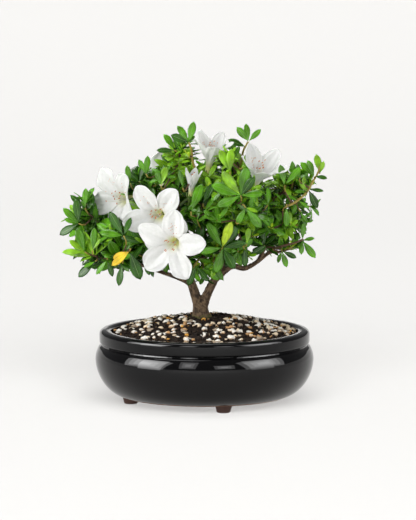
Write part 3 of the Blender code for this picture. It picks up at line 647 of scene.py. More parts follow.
@dataclass
class Pot:
    """The round pot: a lipped bowl on four short feet, open at the top."""

    height: float = 61.0
    rim_radius: float = 89.0
    mouth_radius: float = 78.7
    lip_height: float = 11.5
    lip_rounding: float = 3.4
    mouth_rounding: float = 2.2
    neck_radius: float = 87.6
    belly_radius: float = 92.4
    belly_height: float = 36.0
    belly_fullness: float = 1.8
    shoulder_fall: float = 2.2
    base_radius: float = 69.0
    wall: float = 6.0
    drain_radius: float = 7.0
    foot_height: float = 5.8
    foot_circle: float = 64.0
    foot_turn: float = radians(14.3)
    foot_radii: Pair = (5.6, 7.4)
    foot_sink: float = 1.2
    feet: tuple[str, ...] = ("pot_foot_right", "pot_foot_back", "pot_foot_left", "pot_foot_front")
    steps: int = 160
    finish: GlazeFinish = GlazeFinish()
    foot_finish: StoneFinish = StoneFinish("bare_clay", (0.085, 0.036, 0.022), (0.045, 0.018, 0.011))

    def outer_radius(self, height: float) -> float:
        """The outer radius at a height below the lip."""
        if height >= self.belly_height:
            span = self.height - self.lip_height - self.belly_height
            rise = (height - self.belly_height) / span
            return self.belly_radius - (self.belly_radius - self.neck_radius) * rise**self.shoulder_fall
        fall = (self.belly_height - height) / (self.belly_height - self.foot_height)
        share = max(0.0, 1 - fall**self.belly_fullness) ** (1 / self.belly_fullness)
        return self.base_radius + (self.belly_radius - self.base_radius) * share

    def corner(self, middle: Point, radius: float, start: float, end: float) -> list[Point]:
        """Points round a corner's middle from one angle to another, in degrees."""
        turns = [radians(start + (end - start) * step / 6) for step in range(7)]
        return [(middle[0] + radius * cos(t), middle[1] + radius * sin(t)) for t in turns]

    def inner_wall(self) -> list[Point]:
        """The inner side, from the floor to the neck."""
        floor = self.foot_height + self.wall
        heights = [floor + 9 + step * 3.5 for step in range(6)]
        side = [(self.outer_radius(height) - self.wall, height) for height in heights]
        return [(self.base_radius - self.wall, floor), *side]

    def profile(self) -> list[Point]:
        """From the drain hole up the inside, over the lip and down the belly to the underside."""
        shoulder = self.height - self.lip_height
        small, large = self.mouth_rounding, self.lip_rounding
        under = 2.4
        inside = [(self.drain_radius, self.foot_height + self.wall), *self.inner_wall()]
        inside.append((self.mouth_radius, shoulder))
        lip = [
            *self.corner((self.mouth_radius + small, self.height - small), small, 180, 90),
            *self.corner((self.rim_radius - large, self.height - large), large, 90, 0),
            *self.corner((self.rim_radius - under, shoulder + under), under, 0, -60),
            (self.neck_radius - 1.1, shoulder - 0.3),
            (self.neck_radius - 0.7, shoulder - 1.3),
        ]
        upper = np.linspace(shoulder - 2.2, self.belly_height, 9)
        drops = [sin(radians(angle)) for angle in range(8, 90, 8)]
        depth = self.belly_height - self.foot_height
        lower = [self.belly_height - depth * drop for drop in drops]
        belly = [(self.outer_radius(height), height) for height in [*upper, *lower]]
        edge = [(self.base_radius + 0.6, self.foot_height + 0.25), (self.base_radius - 1, self.foot_height)]
        return [*inside, *lip, *belly, *edge, (self.drain_radius, self.foot_height)]

    def build_feet(self) -> Piece:
        """Four short feet of bare clay with rounded edges, sunk a little into the underside."""
        made = []
        depth = self.foot_height + self.foot_sink
        for number in range(len(self.feet)):
            turn = self.foot_turn + number * 2 * pi / len(self.feet)
            middle = (self.foot_circle * cos(turn), self.foot_circle * sin(turn), depth / 2)
            deselect()
            bpy.ops.mesh.primitive_cone_add(
                vertices=28,
                radius1=self.foot_radii[0] * MM,
                radius2=self.foot_radii[1] * MM,
                depth=depth * MM,
                location=Place.point(middle),
            )
            foot = settle(bpy.context.object)
            modify(foot, "BEVEL", width=0.9 * MM, segments=3, angle_limit=radians(50))
            made.append(foot)
        feet = join("pot_feet", made)
        bpy.ops.object.shade_smooth_by_angle(angle=radians(40))
        feet.data.materials.append(self.foot_finish.material())
        return dress(feet, "bare_clay", *self.feet)

    def build(self) -> list[Piece]:
        """The glazed bowl and its feet."""
        profile = self.profile()
        pot = lathe("pot_glazed", [*profile, profile[0]], self.steps, seam=True)
        bpy.ops.object.shade_smooth_by_angle(angle=radians(40))
        pot.data.materials.append(self.finish.material())
        return [dress(pot, "black_glaze", "pot"), self.build_feet()]


class Grain(NamedTuple):
    """One kind of loose grain on the soil."""

    finish: StoneFinish | EarthFinish
    count: int
    size: Pair
    nearest: float
    sunk: float


@dataclass
class Soil:
    """A mound of dark soil with pebbles and crumbs strewn over it, mossy by the trunk."""

    peak: float = 71.0
    drop: float = 14.0
    flat_radius: float = 14.0
    edge: float = 78.4
    floor: float = 12.1
    steps: int = 120
    rough: float = 1.3
    patchy: float = 0.9
    seed: int = 7
    pebble_spread: float = 9.6
    pebble_numbers: range = range(4, 58)
    pebble_radius: float = 3.75
    pebble_variety: float = 0.18
    pebble_rise: float = 2.3
    trunk: Pair = (-3.3, 0.0)
    pot: Pot = field(default_factory=Pot)
    grains: tuple[Grain, ...] = (
        Grain(StoneFinish("pebble_cream", (0.95, 0.78, 0.56), (0.42, 0.22, 0.09)), 170, (2.8, 5.6), 15, 0.3),
        Grain(StoneFinish("pebble_white", (1.0, 0.96, 0.88), (0.6, 0.4, 0.22)), 170, (2.8, 6.0), 17, 0.25),
        Grain(StoneFinish("pebble_tan", (0.66, 0.38, 0.17), (0.2, 0.085, 0.03)), 110, (2.6, 5.0), 10, 0.3),
        Grain(StoneFinish("pebble_amber", (0.85, 0.42, 0.07), (0.36, 0.14, 0.03)), 36, (2.4, 4.2), 12, 0.25),
        Grain(StoneFinish("pebble_grey", (0.42, 0.33, 0.24), (0.15, 0.1, 0.07)), 16, (2.8, 5.0), 12, 0.3),
        Grain(EarthFinish("soil_crumbs", light=(0.08, 0.04, 0.019)), 2300, (1.0, 3.6), 8, 0.1),
    )
    moss: StoneFinish = StoneFinish("moss", (0.16, 0.19, 0.03), (0.05, 0.07, 0.012), 0.95)

    def height(self, radius: float) -> float:
        """Height of the mound at a distance from the middle."""
        spread = max(radius, self.flat_radius) ** 2 - self.flat_radius**2
        return self.peak - self.drop * spread / self.pot.mouth_radius**2

    def surface(self, x: float, y: float) -> float:
        """Height of the uneven surface at a place."""
        radius = hypot(x, y)
        lumps = noise.noise(Vector((x, y, 3.0)) / 9) + 0.6 * noise.noise(Vector((x, y, 9.0)) / 3.5)
        fade = min(1.0, max(0.0, (hypot(x - self.trunk[0], y - self.trunk[1]) - 7) / 8))
        return self.height(radius) + self.rough * (lumps * fade - 0.25)

    def ground(self) -> Piece:
        """The mound itself, a closed body that fills the pot."""
        wall = [(radius - GAP, height) for radius, height in self.pot.inner_wall()]
        rings = [self.edge * (1 - step / 44) for step in range(44)]
        top = [(radius, self.height(radius)) for radius in rings]
        profile = [(0, self.floor), (wall[0][0], self.floor), *wall[1:], *top, (0, self.peak)]
        ground = lathe("soil_ground", profile, self.steps, seam=False)
        for vert in ground.data.vertices:
            x, y, z = (np.array(vert.co) - Place.axis) / MM
            if z > self.height(self.edge) - 0.5:
                vert.co.z = min(self.surface(x, y), z + 1.5) * MM
        ground.data.materials.append(EarthFinish().material())
        return ground

    def stone(self, rng: Random) -> tuple[Array, Array]:
        """An uneven rounded grain of unit size.

        Args:
            rng: The source of its shape.

        Returns:
            Its corners and its three-sided faces.
        """
        corners, faces = self.ball
        squash = np.array([rng.uniform(0.8, 1.2), rng.uniform(0.62, 0.95), rng.uniform(0.5, 0.85)])
        shift = Vector([rng.uniform(0, 50) for _ in range(3)])
        swell = [1 + 0.55 * noise.noise(Vector(corner) * 1.5 + shift) for corner in corners]
        return corners * np.array(swell)[:, None] * squash, faces

    @staticmethod
    def top_share(corners: Array) -> Array:
        """How near the top of its grain each corner is, from 0 to 1."""
        return corners[:, 2] / np.abs(corners[:, 2]).max() / 2 + 0.5

    def __post_init__(self) -> None:
        """Keep a ball's corners and faces, which each grain is shaped from."""
        deselect()
        bpy.ops.mesh.primitive_ico_sphere_add(subdivisions=2, radius=1, location=(0, 0, 0))
        ball = bpy.context.object
        corners = np.array([vert.co for vert in ball.data.vertices])
        faces = np.array([tuple(face.vertices) for face in ball.data.polygons])
        self.ball = (corners, faces)
        bpy.data.objects.remove(ball)

    def strew(self, kind: Grain, rng: Random) -> Batch:
        """Scatter grains of one kind over the mound.

        Args:
            kind: The kind of grain.
            rng: The source of their places and shapes.

        Returns:
            The grains, with how near the top of its grain each corner is.
        """
        batch = Batch()
        self.set_main(kind, batch, rng)
        loose = isinstance(kind.finish, StoneFinish)
        while len(batch.points) < kind.count:
            radius = self.edge * sqrt(rng.uniform(0, 1)) - 1.0
            turn = rng.uniform(0, 2 * pi)
            x, y = radius * cos(turn), radius * sin(turn)
            clear = hypot(x - self.trunk[0], y - self.trunk[1])
            dense = noise.noise(Vector((x / 11, y / 11, 21))) * self.patchy + (clear - kind.nearest) / 40
            if clear < kind.nearest or (loose and dense < rng.uniform(-0.2, 0.5)):
                continue
            size = rng.uniform(*kind.size) / 2
            if radius + size > self.edge:
                continue
            corners, faces = self.stone(rng)
            spin = Matrix.Rotation(rng.uniform(0, 6.28), 3, "Z")
            spin = spin @ Matrix.Rotation(rng.uniform(-0.6, 0.6), 3, "X")
            lift = self.surface(x, y) + size * (0.55 - kind.sunk)
            turned = corners @ np.array(spin).T
            batch.add(turned * size + (x, y, lift), faces, value=self.top_share(turned))
        return batch

    def set_main(self, kind: Grain, batch: Batch, rng: Random) -> None:
        """Put the large pebbles of one kind along their spiral, as in the solid."""
        kinds = [grain for grain in self.grains if isinstance(grain.finish, StoneFinish)]
        for number in self.pebble_numbers:
            if kinds[number * number % len(kinds)] is not kind:
                continue
            turn, distance = number * GOLDEN_ANGLE, self.pebble_spread * sqrt(number)
            size = self.pebble_radius * (1 + self.pebble_variety * sin(number * number))
            corners, faces = self.stone(rng)
            spin = np.array(Matrix.Rotation(turn, 3, "Z"))
            corners = corners / np.abs(corners).max(0) * (size, size * 0.92, size * 0.7)
            middle = self.height(distance) + self.pebble_rise - size * 0.7
            place = (distance * cos(turn), distance * sin(turn), middle)
            batch.add(corners @ spin.T + place, faces, value=self.top_share(corners))

    def tuft(self, rng: Random) -> Batch:
        """Small cushions of moss on both sides of the trunk's foot."""
        batch = Batch()
        for middle, count in (((-17, -4), 26), ((5, -7), 12), ((-9, 9), 12)):
            for _ in range(count):
                x = middle[0] + rng.gauss(0, 3.0)
                y = middle[1] + rng.gauss(0, 2.0)
                corners, faces = self.stone(rng)
                size = rng.uniform(0.4, 1.0)
                place = (x, y, self.surface(x, y) + size * 0.4)
                batch.add(corners * size + place, faces, value=self.top_share(corners))
        return batch

    def build(self) -> list[Piece]:
        """The mound, every kind of grain on it, and the moss."""
        rng = Random(self.seed)
        made = [dress(self.ground(), "soil_and_grit", "soil")]
        for kind in self.grains:
            # Each grain keeps how near its top a corner is, which its finish uses for painted shade.
            grains = self.strew(kind, rng).build(kind.finish.name, kind.finish.material(), "top")
            made.append(dress(grains, "soil_and_grit"))
        moss = self.tuft(rng).build(self.moss.name, self.moss.material(), "top")
        return [*made, dress(moss, "soil_and_grit")]


# Wood


class Bough(NamedTuple):
    """A limb that leaves its parent at a share of its length and runs through points."""

    name: str
    parent: str
    share: float
    points: tuple[Point, ...]
    root_radius: float
    tip_radius: float


@dataclass
class Wood:
    """The trunk from its flare to the fork, the two stems and all boughs, with their bark."""

    fork_points: int = 4
    left: tuple[Point, ...] = (
        (-4.4, 0, 73, 4.6), (-6, 0, 84, 4.4), (-8.2, 0, 91.6, 4.1), (-10.2, -0.2, 97.5, 3.9),
        (-12.3, 0, 105, 3.6), (-14, 3, 120, 3), (-17.5, 6, 143, 2.5), (-24, 6, 172, 1.9),
    )
    right: tuple[Point, ...] = (
        (-2.2, 0, 73, 4.6), (-0.2, 0, 84, 4.2), (2.8, 0, 91.6, 3.8), (5.6, 0.2, 97.5, 3.6),
        (9.4, 0.5, 105, 3.4), (13.6, 2, 115, 3.2), (17.5, 6, 140, 2.6), (18, 7, 170, 1.9),
    )
    foot: tuple[Point, ...] = (
        (-3.3, 0, 69.6, 8.9), (-3.3, 0, 71.4, 8.3), (-3.3, 0, 74.5, 6.9), (-3.2, 0, 80, 6.2),
        (-2.8, 0, 83.5, 4.6),
    )
    boughs: tuple[Bough, ...] = (
        Bough(
            "bough_left", "stem_left", 0.07,
            ((-20, -2, 104), (-37, -5, 110.5), (-53.6, -7, 116.5), (-62, -8, 119)), 2.3, 1.25,
        ),
        Bough(
            "bough_right", "stem_right", 0.2,
            ((22.5, 0, 114.2), (33, -1, 112.8), (42.5, -1, 117), (54.5, 0, 126.3)), 2.9, 1.6,
        ),
        Bough("bough_left_rise", "stem_left", 0.24, ((-40, 7, 132), (-66, 16, 142)), 2.0, 1.3),
        Bough("bough_left_back", "stem_left", 0.62, ((-32, 13, 158), (-42, 18, 167)), 1.8, 1.2),
        Bough("bough_left_front", "stem_left", 0.44, ((-24, 1, 130), (-36, 0, 138)), 1.8, 1.2),
        Bough("bough_low_front", "stem_right", 0.16, ((10, -8, 117), (10, -16, 121)), 1.7, 1.2),
        Bough("bough_front", "stem_right", 0.42, ((20, -8, 141), (22, -17, 148)), 1.8, 1.2),
        Bough("bough_middle", "stem_right", 0.5, ((12, 0, 149), (6, -3, 157)), 1.7, 1.2),
        Bough("bough_right_rise", "bough_right", 0.8, ((52, -3, 132), (58, -5, 140)), 1.6, 1.2),
        Bough("bough_right_top", "stem_right", 0.52, ((36, 6, 158), (49, 6, 168)), 1.9, 1.25),
        Bough("bough_back_left", "stem_left", 0.33, ((-27, 22, 135), (-38, 34, 142)), 1.9, 1.25),
        Bough("bough_back", "stem_right", 0.46, ((11, 20, 148), (7, 31, 154)), 1.9, 1.25),
        Bough("bough_back_right", "stem_right", 0.3, ((28, 18, 132), (38, 29, 139)), 1.9, 1.25),
    )
    collar: float = 1.15
    steps: int = 6
    sides: int = 14
    voxel: float = 0.55
    relief: float = 0.06
    knot: float = 0.1
    flute: float = 0.16
    flute_top: float = 80.0
    finish: BarkFinish = BarkFinish()

    def paths(self) -> dict[str, Path]:
        """Each limb's path of (x, y, z, radius) points, by name."""
        left, right = smooth_path(self.left, self.steps), smooth_path(self.right, self.steps)
        fork = (self.fork_points - 1) * self.steps
        made = {
            "arm_left": left[: fork + 2],
            "arm_right": right[: fork + 2],
            "foot": smooth_path(self.foot, self.steps),
            "stem_left": left[fork:],
            "stem_right": right[fork:],
        }
        for bough in self.boughs:
            root = point_along(made[bough.parent], bough.share)
            step = (bough.tip_radius - bough.root_radius) / len(bough.points)
            knots = [(*root[:3], bough.root_radius * self.collar)]
            for number, point in enumerate(bough.points, 1):
                knots.append((*point, bough.root_radius + step * number))
            made[bough.name] = smooth_path(knots, self.steps)
        return made

    def tubes(self) -> list[Piece]:
        """Every limb as a plain tube, turned from a curve into a mesh."""
        made = []
        for name, path in self.paths().items():
            curve = bpy.data.curves.new(name, "CURVE")
            curve.dimensions = "3D"
            curve.bevel_depth = MM
            curve.bevel_resolution = self.sides // 2 - 2
            curve.use_fill_caps = True
            spline = curve.splines.new("POLY")
            spline.points.add(len(path) - 1)
            for point, (x, y, z, radius) in zip(spline.points, path):
                point.co = (*Place.point((x, y, z)), 1)
                point.radius = radius
            select(put(name, curve))
            bpy.ops.object.convert(target="MESH")
            made.append(bpy.context.object)
        return made

    def emboss(self, wood: Piece) -> None:
        """Raise the bark: furrows that run along each limb, knots and a fluted foot."""
        segments = [pair for path in self.paths().values() for pair in zip(path, path[1:])]
        start = np.array([a[:3] for a, _ in segments])
        along = np.array([(b - a)[:3] for a, b in segments])
        radius = np.array([a[3] for a, _ in segments])
        length = np.linalg.norm(along, axis=1)
        way = along / length[:, None]
        reached = np.cumsum(length)
        mesh = wood.data
        count = len(mesh.vertices)
        places = np.empty(count * 3)
        mesh.vertices.foreach_get("co", places)
        places = places.reshape(-1, 3)
        normals = np.array([vert.normal for vert in mesh.vertices])
        points = (places - Place.axis) / MM
        relief = np.empty(count)
        for number, point in enumerate(points):
            offset = point - start
            share = np.clip((offset * way).sum(1), 0, length)
            away = np.linalg.norm(offset - way * share[:, None], axis=1)
            near = int(np.argmin(away - radius))
            on = reached[near] - length[near] + share[near]
            round_it = Vector(offset[near] - way[near] * share[near]) / max(radius[near], 1.6)
            where, run = round_it * 2.3, Vector(way[near]) * on
            furrows = noise.noise(where + run / 5.0)
            cracks = noise.noise(where * 2.3 + run / 2.2 + Vector((9, 3, 5)))
            knots = noise.noise(run / 7.0 + Vector((31, 7, near % 5)))
            height = (furrows + 0.6 * cracks) * self.relief + knots * self.knot * 0.6
            if point[2] < self.flute_top:
                turn = atan2(point[1], point[0] - self.foot[0][0])
                height += self.flute * max(0, sin(turn * 5 + 0.8)) * (self.flute_top - point[2]) / 9
            points[number] += normals[number] * height * radius[near]
            relief[number] = min(1, max(0, 0.5 + furrows * 0.8 + cracks * 0.6))
        mesh.vertices.foreach_set("co", Place.points(points).reshape(-1))
        mesh.attributes.new("relief", "FLOAT", "POINT").data.foreach_set("value", relief)
        mesh.update()

    def build(self) -> Piece:
        """All wood in one piece."""
        wood = join("bark_limbs", self.tubes())
        modify(wood, "REMESH", mode="VOXEL", voxel_size=self.voxel * MM)
        modify(wood, "SMOOTH", factor=0.5, iterations=4)
        self.emboss(wood)
        bpy.ops.object.shade_smooth()
        wood.data.materials.append(self.finish.material())
        boughs = [bough.name for bough in self.boughs]
        return dress(wood, "bark", "trunk", "stem_left", "stem_right", *boughs)


# Blossoms


class Bloom(NamedTuple):
    """A bloom on a limb: its throat's place, the way it faces and how far it has opened."""

    name: str
    limb: str
    share: float
    throat: Point
    facing: Point
    opening: float
    turn: float
    scale: float = 1.0

    @property
    def way(self) -> Vector:
        """The way that it faces, as a unit vector."""
        return Vector(self.facing).normalized()


@dataclass
class Blossoms:
    """White trumpets of five petals, each on its stalk, with stamens and freckles."""

    blooms: tuple[Bloom, ...] = (
        Bloom("blossom_front", "stem_left", 0.58, (-25.7, -54, 139.9), (-0.32, -0.93, -0.17), 70, -12),
        Bloom("blossom_upper_front", "stem_left", 0.78, (-38, -33, 161), (-0.32, -0.94, -0.05), 66, 32, 0.97),
        Bloom("blossom_left", "bough_left_rise", 0.55, (-69, 2, 171), (-0.76, -0.63, -0.02), 60, 30),
        Bloom("blossom_top", "stem_left", 0.93, (4.5, -6, 205), (0.16, -0.34, 0.92), 31, 20, 0.88),
        Bloom("blossom_right", "bough_right_top", 0.7, (44, -13, 190), (0.3, -0.46, 0.83), 36, 10),
        Bloom("blossom_half_open", "stem_left", 0.86, (-11, -24, 183), (0.12, -0.22, 0.95), 17, 30, 0.6),
        Bloom("blossom_back_left", "bough_back_left", 0.5, (-38, 74, 176), (-0.25, 0.85, 0.46), 64, 0),
        Bloom("blossom_back_right", "bough_back_right", 0.7, (36, 76, 153), (0.3, 0.93, 0.2), 68, 40),
    )
    petals: int = 5
    petal_length: float = 28.0
    petal_width: float = 20.0
    tube_length: float = 15.0
    tube_steps: int = 8
    petal_steps: int = 16
    across_steps: int = 20
    tube_foot: float = 1.7
    tube_angles: Pair = (5.0, 32.0)
    recurve: float = 26.0
    bend_share: float = 0.32
    free_share: float = 0.3
    outline: tuple[Point, ...] = (
        (0, 0.4), (0.12, 0.58), (0.3, 0.86), (0.47, 0.99), (0.58, 1), (0.72, 0.91), (0.84, 0.7),
        (0.93, 0.44), (1, 0.13),
    )
    cup: float = 0.3
    wave: float = 0.28
    groove: float = 0.26
    groove_width: float = 0.16
    flute: float = 0.06
    thickness: float = 0.3
    freckled_turns: Pair = (30.0, 60.0)
    freckle_counts: tuple[int, int] = (16, 8)
    freckle_corners: int = 7
    freckle_rise: float = 0.42
    stamens: int = 8
    seed: int = 11
    clearing: float = 19.0
    clearing_shift: float = 0.9
    wide_open: float = 40.0
    petal: PetalFinish = PetalFinish()
    stalk: PlainFinish = PlainFinish("blossom_stalks", (0.16, 0.26, 0.05), 0.5)
    filament: PlainFinish = PlainFinish("filaments", (0.86, 0.84, 0.74), 0.5)
    anther: PlainFinish = PlainFinish("anthers", (0.62, 0.2, 0.055), 0.6)
    freckle: PlainFinish = PlainFinish("petal_freckles", (0.8, 0.42, 0.26), 0.6)

    def axes(self, bloom: Bloom) -> Array:
        """A bloom's own axes as columns: the way it faces, its side and its upper side."""
        x = bloom.way
        y = UP.cross(x).normalized()
        return np.array([x, y, x.cross(y)]).T

    def centre_line(self, bloom: Bloom) -> tuple[Array, Array, Array]:
        """How a petal runs out and away, step by step, from the foot of the tube to its tip.

        Args:
            bloom: The bloom.

        Returns:
            The distance from the bloom's axis, the distance along it, and the angle from it.
        """
        low, high = self.tube_angles
        tube_shares = np.linspace(0, 1, self.tube_steps + 1)
        shares = np.linspace(0, 1, self.petal_steps + 1)[1:]
        opened = min(1.0, bloom.opening / 60)
        bend = (bloom.opening - high * opened) * np.clip(shares / self.bend_share, 0, 1) ** 0.8
        tube_angles = low + (high * opened - low) * tube_shares**2
        petal_angles = high * opened + bend + self.recurve * opened * shares**2
        angles = np.concatenate([tube_angles, petal_angles])
        counts = (self.tube_steps, self.petal_steps)
        steps = np.repeat((self.tube_length / counts[0], self.petal_length / counts[1]), counts)
        turn = np.radians((angles[1:] + angles[:-1]) / 2)
        out = self.tube_foot + np.concatenate([[0], np.cumsum(np.sin(turn) * steps)])
        along = np.concatenate([[0], np.cumsum(np.cos(turn) * steps)])
        return out * bloom.scale, along * bloom.scale, np.radians(angles)

    def petal_grid(self, bloom: Bloom, number: int, rng: Random) -> Array:
        """The places of one petal's corners, in rows from the tube's foot to the tip.

        Args:
            bloom: The bloom.
            number: Which of its petals it is.
            rng: The source of its waves.

        Returns:
            An array of rows, columns and coordinates.
        """
        out, along, angles = (row[:, None] for row in self.centre_line(bloom))
        far = np.clip((np.arange(len(out)) - self.tube_steps) / self.petal_steps, 0, 1)[:, None]
        side = np.linspace(-1, 1, self.across_steps + 1)
        half = np.interp(far, *zip(*self.outline)) * self.petal_width / 2 * bloom.scale
        half *= min(1.0, 0.34 + bloom.opening / 80) * rng.uniform(0.94, 1.06)
        free = np.clip(far / self.free_share, 0, 1)
        free = free * free * (3 - 2 * free)
        round_it = side * pi / self.petals
        curl = (1 - free) * out
        across = curl * np.sin(round_it) + free * half * side
        outward = curl * np.cos(round_it) + free * out
        phase, ripple = rng.uniform(0, 6.28), rng.uniform(6, 10)
        tilt = 0.07 * rng.choice((-1, 1)) + rng.uniform(-0.03, 0.03)
        edge = np.abs(side)
        ruffle = np.sin(ripple * far + phase + 2.1 * np.sign(side))
        lift = self.cup * edge**2 * (1 - 1.5 * far**2) + tilt * side
        lift += self.wave * ruffle * edge**2.5 * far
        lift -= self.groove * np.exp(-((side / self.groove_width) ** 2)) * (1 - 0.6 * far)
        lift += self.flute * np.cos(side * 4 * pi) * far
        lift *= free * half
        outward = outward - lift * np.cos(angles)
        forward = along + lift * np.sin(angles)
        turn = radians(bloom.turn + number * 360 / self.petals)
        y = -np.sin(turn) * outward - np.cos(turn) * across
        z = np.cos(turn) * outward - np.sin(turn) * across
        grid = np.stack([forward, y, z], -1) @ self.axes(bloom).T
        return grid + np.array(self.foot(bloom))

    def foot(self, bloom: Bloom) -> Vector:
        """Where a bloom's tube begins."""
        return Vector(bloom.throat) - bloom.way * self.tube_length * bloom.scale

    def corollas(self) -> Piece:
        """All petals and tubes in one piece, given their thickness."""
        rng = Random(self.seed)
        batch = Batch()
        rows, columns = self.tube_steps + self.petal_steps + 1, self.across_steps + 1
        quads = grid_faces(rows, columns)
        far = np.repeat(np.linspace(0, 1, rows), columns)
        self.freckles: list[tuple[Array, Array]] = []
        for bloom in self.blooms:
            for number in range(self.petals):
                grid = self.petal_grid(bloom, number, rng)
                batch.add(grid.reshape(-1, 3), quads, value=far)
                turn = (bloom.turn + number * 360 / self.petals + 180) % 360 - 180
                if abs(turn) < self.freckled_turns[1]:
                    self.freckle_petal(grid, abs(turn) < self.freckled_turns[0], rng)
        piece = batch.build("blossoms", self.petal.material(), "out")
        select(piece)
        bpy.ops.object.mode_set(mode="EDIT")
        bpy.ops.mesh.select_all(action="SELECT")
        bpy.ops.mesh.remove_doubles(threshold=0.004 * MM)
        bpy.ops.object.mode_set(mode="OBJECT")
        modify(piece, "SOLIDIFY", thickness=self.thickness * MM, offset=-1)
        bpy.ops.object.shade_smooth()
        return dress(piece, "petal", *(bloom.name for bloom in self.blooms))

    def freckle_petal(self, grid: Array, top: bool, rng: Random) -> None:
        """Choose places for freckles on an upper petal, more on the top one of its bloom."""
        for _ in range(self.freckle_counts[0 if top else 1]):
            row = self.tube_steps + int(rng.uniform(0.0, 0.62) * self.petal_steps)
            column = round(self.across_steps / 2 + rng.gauss(0, 2.4))
            column = min(max(column, 2), self.across_steps - 2)
            place = grid[row, column]
            normal = np.cross(grid[row + 1, column] - place, grid[row, column + 1] - place)
            jitter = (grid[row + 1, column + 1] - place) * rng.uniform(0, 1)
            self.freckles.append((place + jitter, normal / np.linalg.norm(normal)))

    def build_freckles(self) -> Piece:
        """Small flat spots that stand just proud of the upper petals."""
        rng = Random(self.seed + 1)
        batch = Batch()
        for place, normal in self.freckles:
            way = Vector(normal)
            side = way.orthogonal().normalized()
            other = way.cross(side)
            long, short = rng.uniform(0.35, 0.6), rng.uniform(0.25, 0.4)
            points = [Vector(place) + way * rise for rise in (self.freckle_rise, -self.freckle_rise)]
            faces = []
            for step in range(self.freckle_corners):
                turn = step * 2 * pi / self.freckle_corners
                corner = side * cos(turn) * long + other * sin(turn) * short
                points.append(Vector(place) + corner)
                here, after = 2 + step, 2 + (step + 1) % self.freckle_corners
                faces += [(0, here, after), (1, after, here)]
            batch.add(np.array(points), np.array(faces))
        return dress(batch.build("petal_freckles", self.freckle.material()), "petal")

    def stamen(self, bloom: Bloom, length: float, spread: Vector, rise: float) -> tuple[Path, Vector]:
        """One filament's path, and the way that it points at its end.

        Args:
            bloom: The bloom.
            length: How far it reaches from the tube's foot.
            spread: How far its end lies from the bloom's axis, and which way.
            rise: How far its end bends up, from 0 to 1.

        Returns:
            The path and the unit vector.
        """
        foot = self.foot(bloom) + bloom.way * 2
        middle = foot + bloom.way * length * 0.55 + spread * 0.35
        end = foot + bloom.way * length * (0.97 - 0.1 * rise) + spread + UP * rise * 4.0
        path = smooth_path([foot, middle, end], 5)
        return path, (path[-1] - path[-2]).normalized()

    def build_stamens(self) -> list[Piece]:
        """Pale filaments out of each throat, a brown anther on each, and the longer pistil."""
        rng = Random(self.seed + 2)
        threads, heads = Batch(), Batch()
        for bloom in self.blooms:
            axes = self.axes(bloom)
            reach = min(1.0, bloom.opening / 60)
            for number in range(self.stamens + 1):
                turn = number * 2 * pi / self.stamens + rng.uniform(-0.3, 0.3)
                wide = rng.uniform(2.5, 6.5) * reach
                spread = Vector(axes[:, 1] * cos(turn) + axes[:, 2] * (sin(turn) - 0.2)) * wide
                length = rng.uniform(21, 30) * bloom.scale
                if number == self.stamens:
                    length, spread = 34 * bloom.scale, Vector(axes[:, 2]) * -3.0
                path, way = self.stamen(bloom, length, spread, rng.uniform(0.3, 1.0))
                radii = np.linspace(0.34, 0.2, len(path))
                threads.add(*tube(path, list(radii), 5))
                size = 0.38 if number == self.stamens else 0.46
                lean = (way.orthogonal() + way * 0.4).normalized()
                body = [path[-1] + lean * step for step in (-0.9, -0.6, 0, 0.6, 0.9)]
                girth = [size * share for share in (0.25, 0.8, 1, 0.8, 0.25)]
                heads.add(*tube(body, girth, 6))
        return [
            dress(threads.build("filaments", self.filament.material()), "petal"),
            dress(heads.build("anthers", self.anther.material()), "petal"),
        ]

    def build_stalks(self, paths: dict[str, Path]) -> Piece:
        """Each bloom's stalk from its limb, swelling where the tube sits in its small calyx."""
        batch = Batch()
        for bloom in self.blooms:
            root = Vector(point_along(paths[bloom.limb], bloom.share)[:3])
            foot = self.foot(bloom)
            path = arc(root, (foot - root).normalized(), foot, bloom.way, 12)
            path.append(foot + bloom.way * 1.6 * bloom.scale)
            radii = [*np.linspace(1.15, 0.8, 10), 1.3, 2.0, 2.25 * bloom.scale]
            batch.add(*tube(path, radii, 8))
            for number in range(self.petals):
                turn = radians(bloom.turn + (number + 0.5) * 360 / self.petals)
                axes = self.axes(bloom)
                out = Vector(axes[:, 2] * cos(turn) - axes[:, 1] * sin(turn))
                bends = ((1.6, 0, 0.9), (2.9, 2.2, 0.8), (3.3, 5, 0.15))
                sepal = [foot + out * wide + bloom.way * far for wide, far, _ in bends]
                batch.add(*tube(sepal, [girth for *_, girth in bends], 5))
        return dress(batch.build("blossom_stalks", self.stalk.material()), "leaf")

    def in_clearing(self, place: Vector) -> bool:
        """Whether a place lies in the leafless room before an open bloom."""
        for bloom in self.blooms:
            room = Vector(bloom.throat) + bloom.way * self.clearing * self.clearing_shift
            if bloom.opening > self.wide_open and (place - room).length < self.clearing:
                return True
        return False

    def build(self, paths: dict[str, Path]) -> list[Piece]:
        """Petals, freckles, stamens and stalks of every bloom, the petals first."""
        petals = self.corollas()
        return [petals, self.build_freckles(), *self.build_stamens(), self.build_stalks(paths)]


# Foliage


class Tint(Enum):
    """The tints that leaves are dealt; the dark and bright ones are partly painted shade and painted light.
    """

    DARK = LeafFinish("leaves_dark", (0.028, 0.1, 0.007))
    MIDDLE = LeafFinish("leaves_middle", (0.088, 0.27, 0.01))
    BRIGHT = LeafFinish("leaves_bright", (0.22, 0.46, 0.018))
    YOUNG = LeafFinish("leaves_young", (0.46, 0.66, 0.03), 0.42, 0.12)
    YELLOW = LeafFinish("leaves_yellow", (0.88, 0.52, 0.03), 0.5)


DARK, MIDDLE, BRIGHT, YOUNG, YELLOW = Tint


class Mass(NamedTuple):
    """A mass of foliage: the limb that it grows from, and the ellipsoid that it fills."""

    name: str
    limb: str
    centre: Point
    radii: Point
    shoots: int
    seed: int


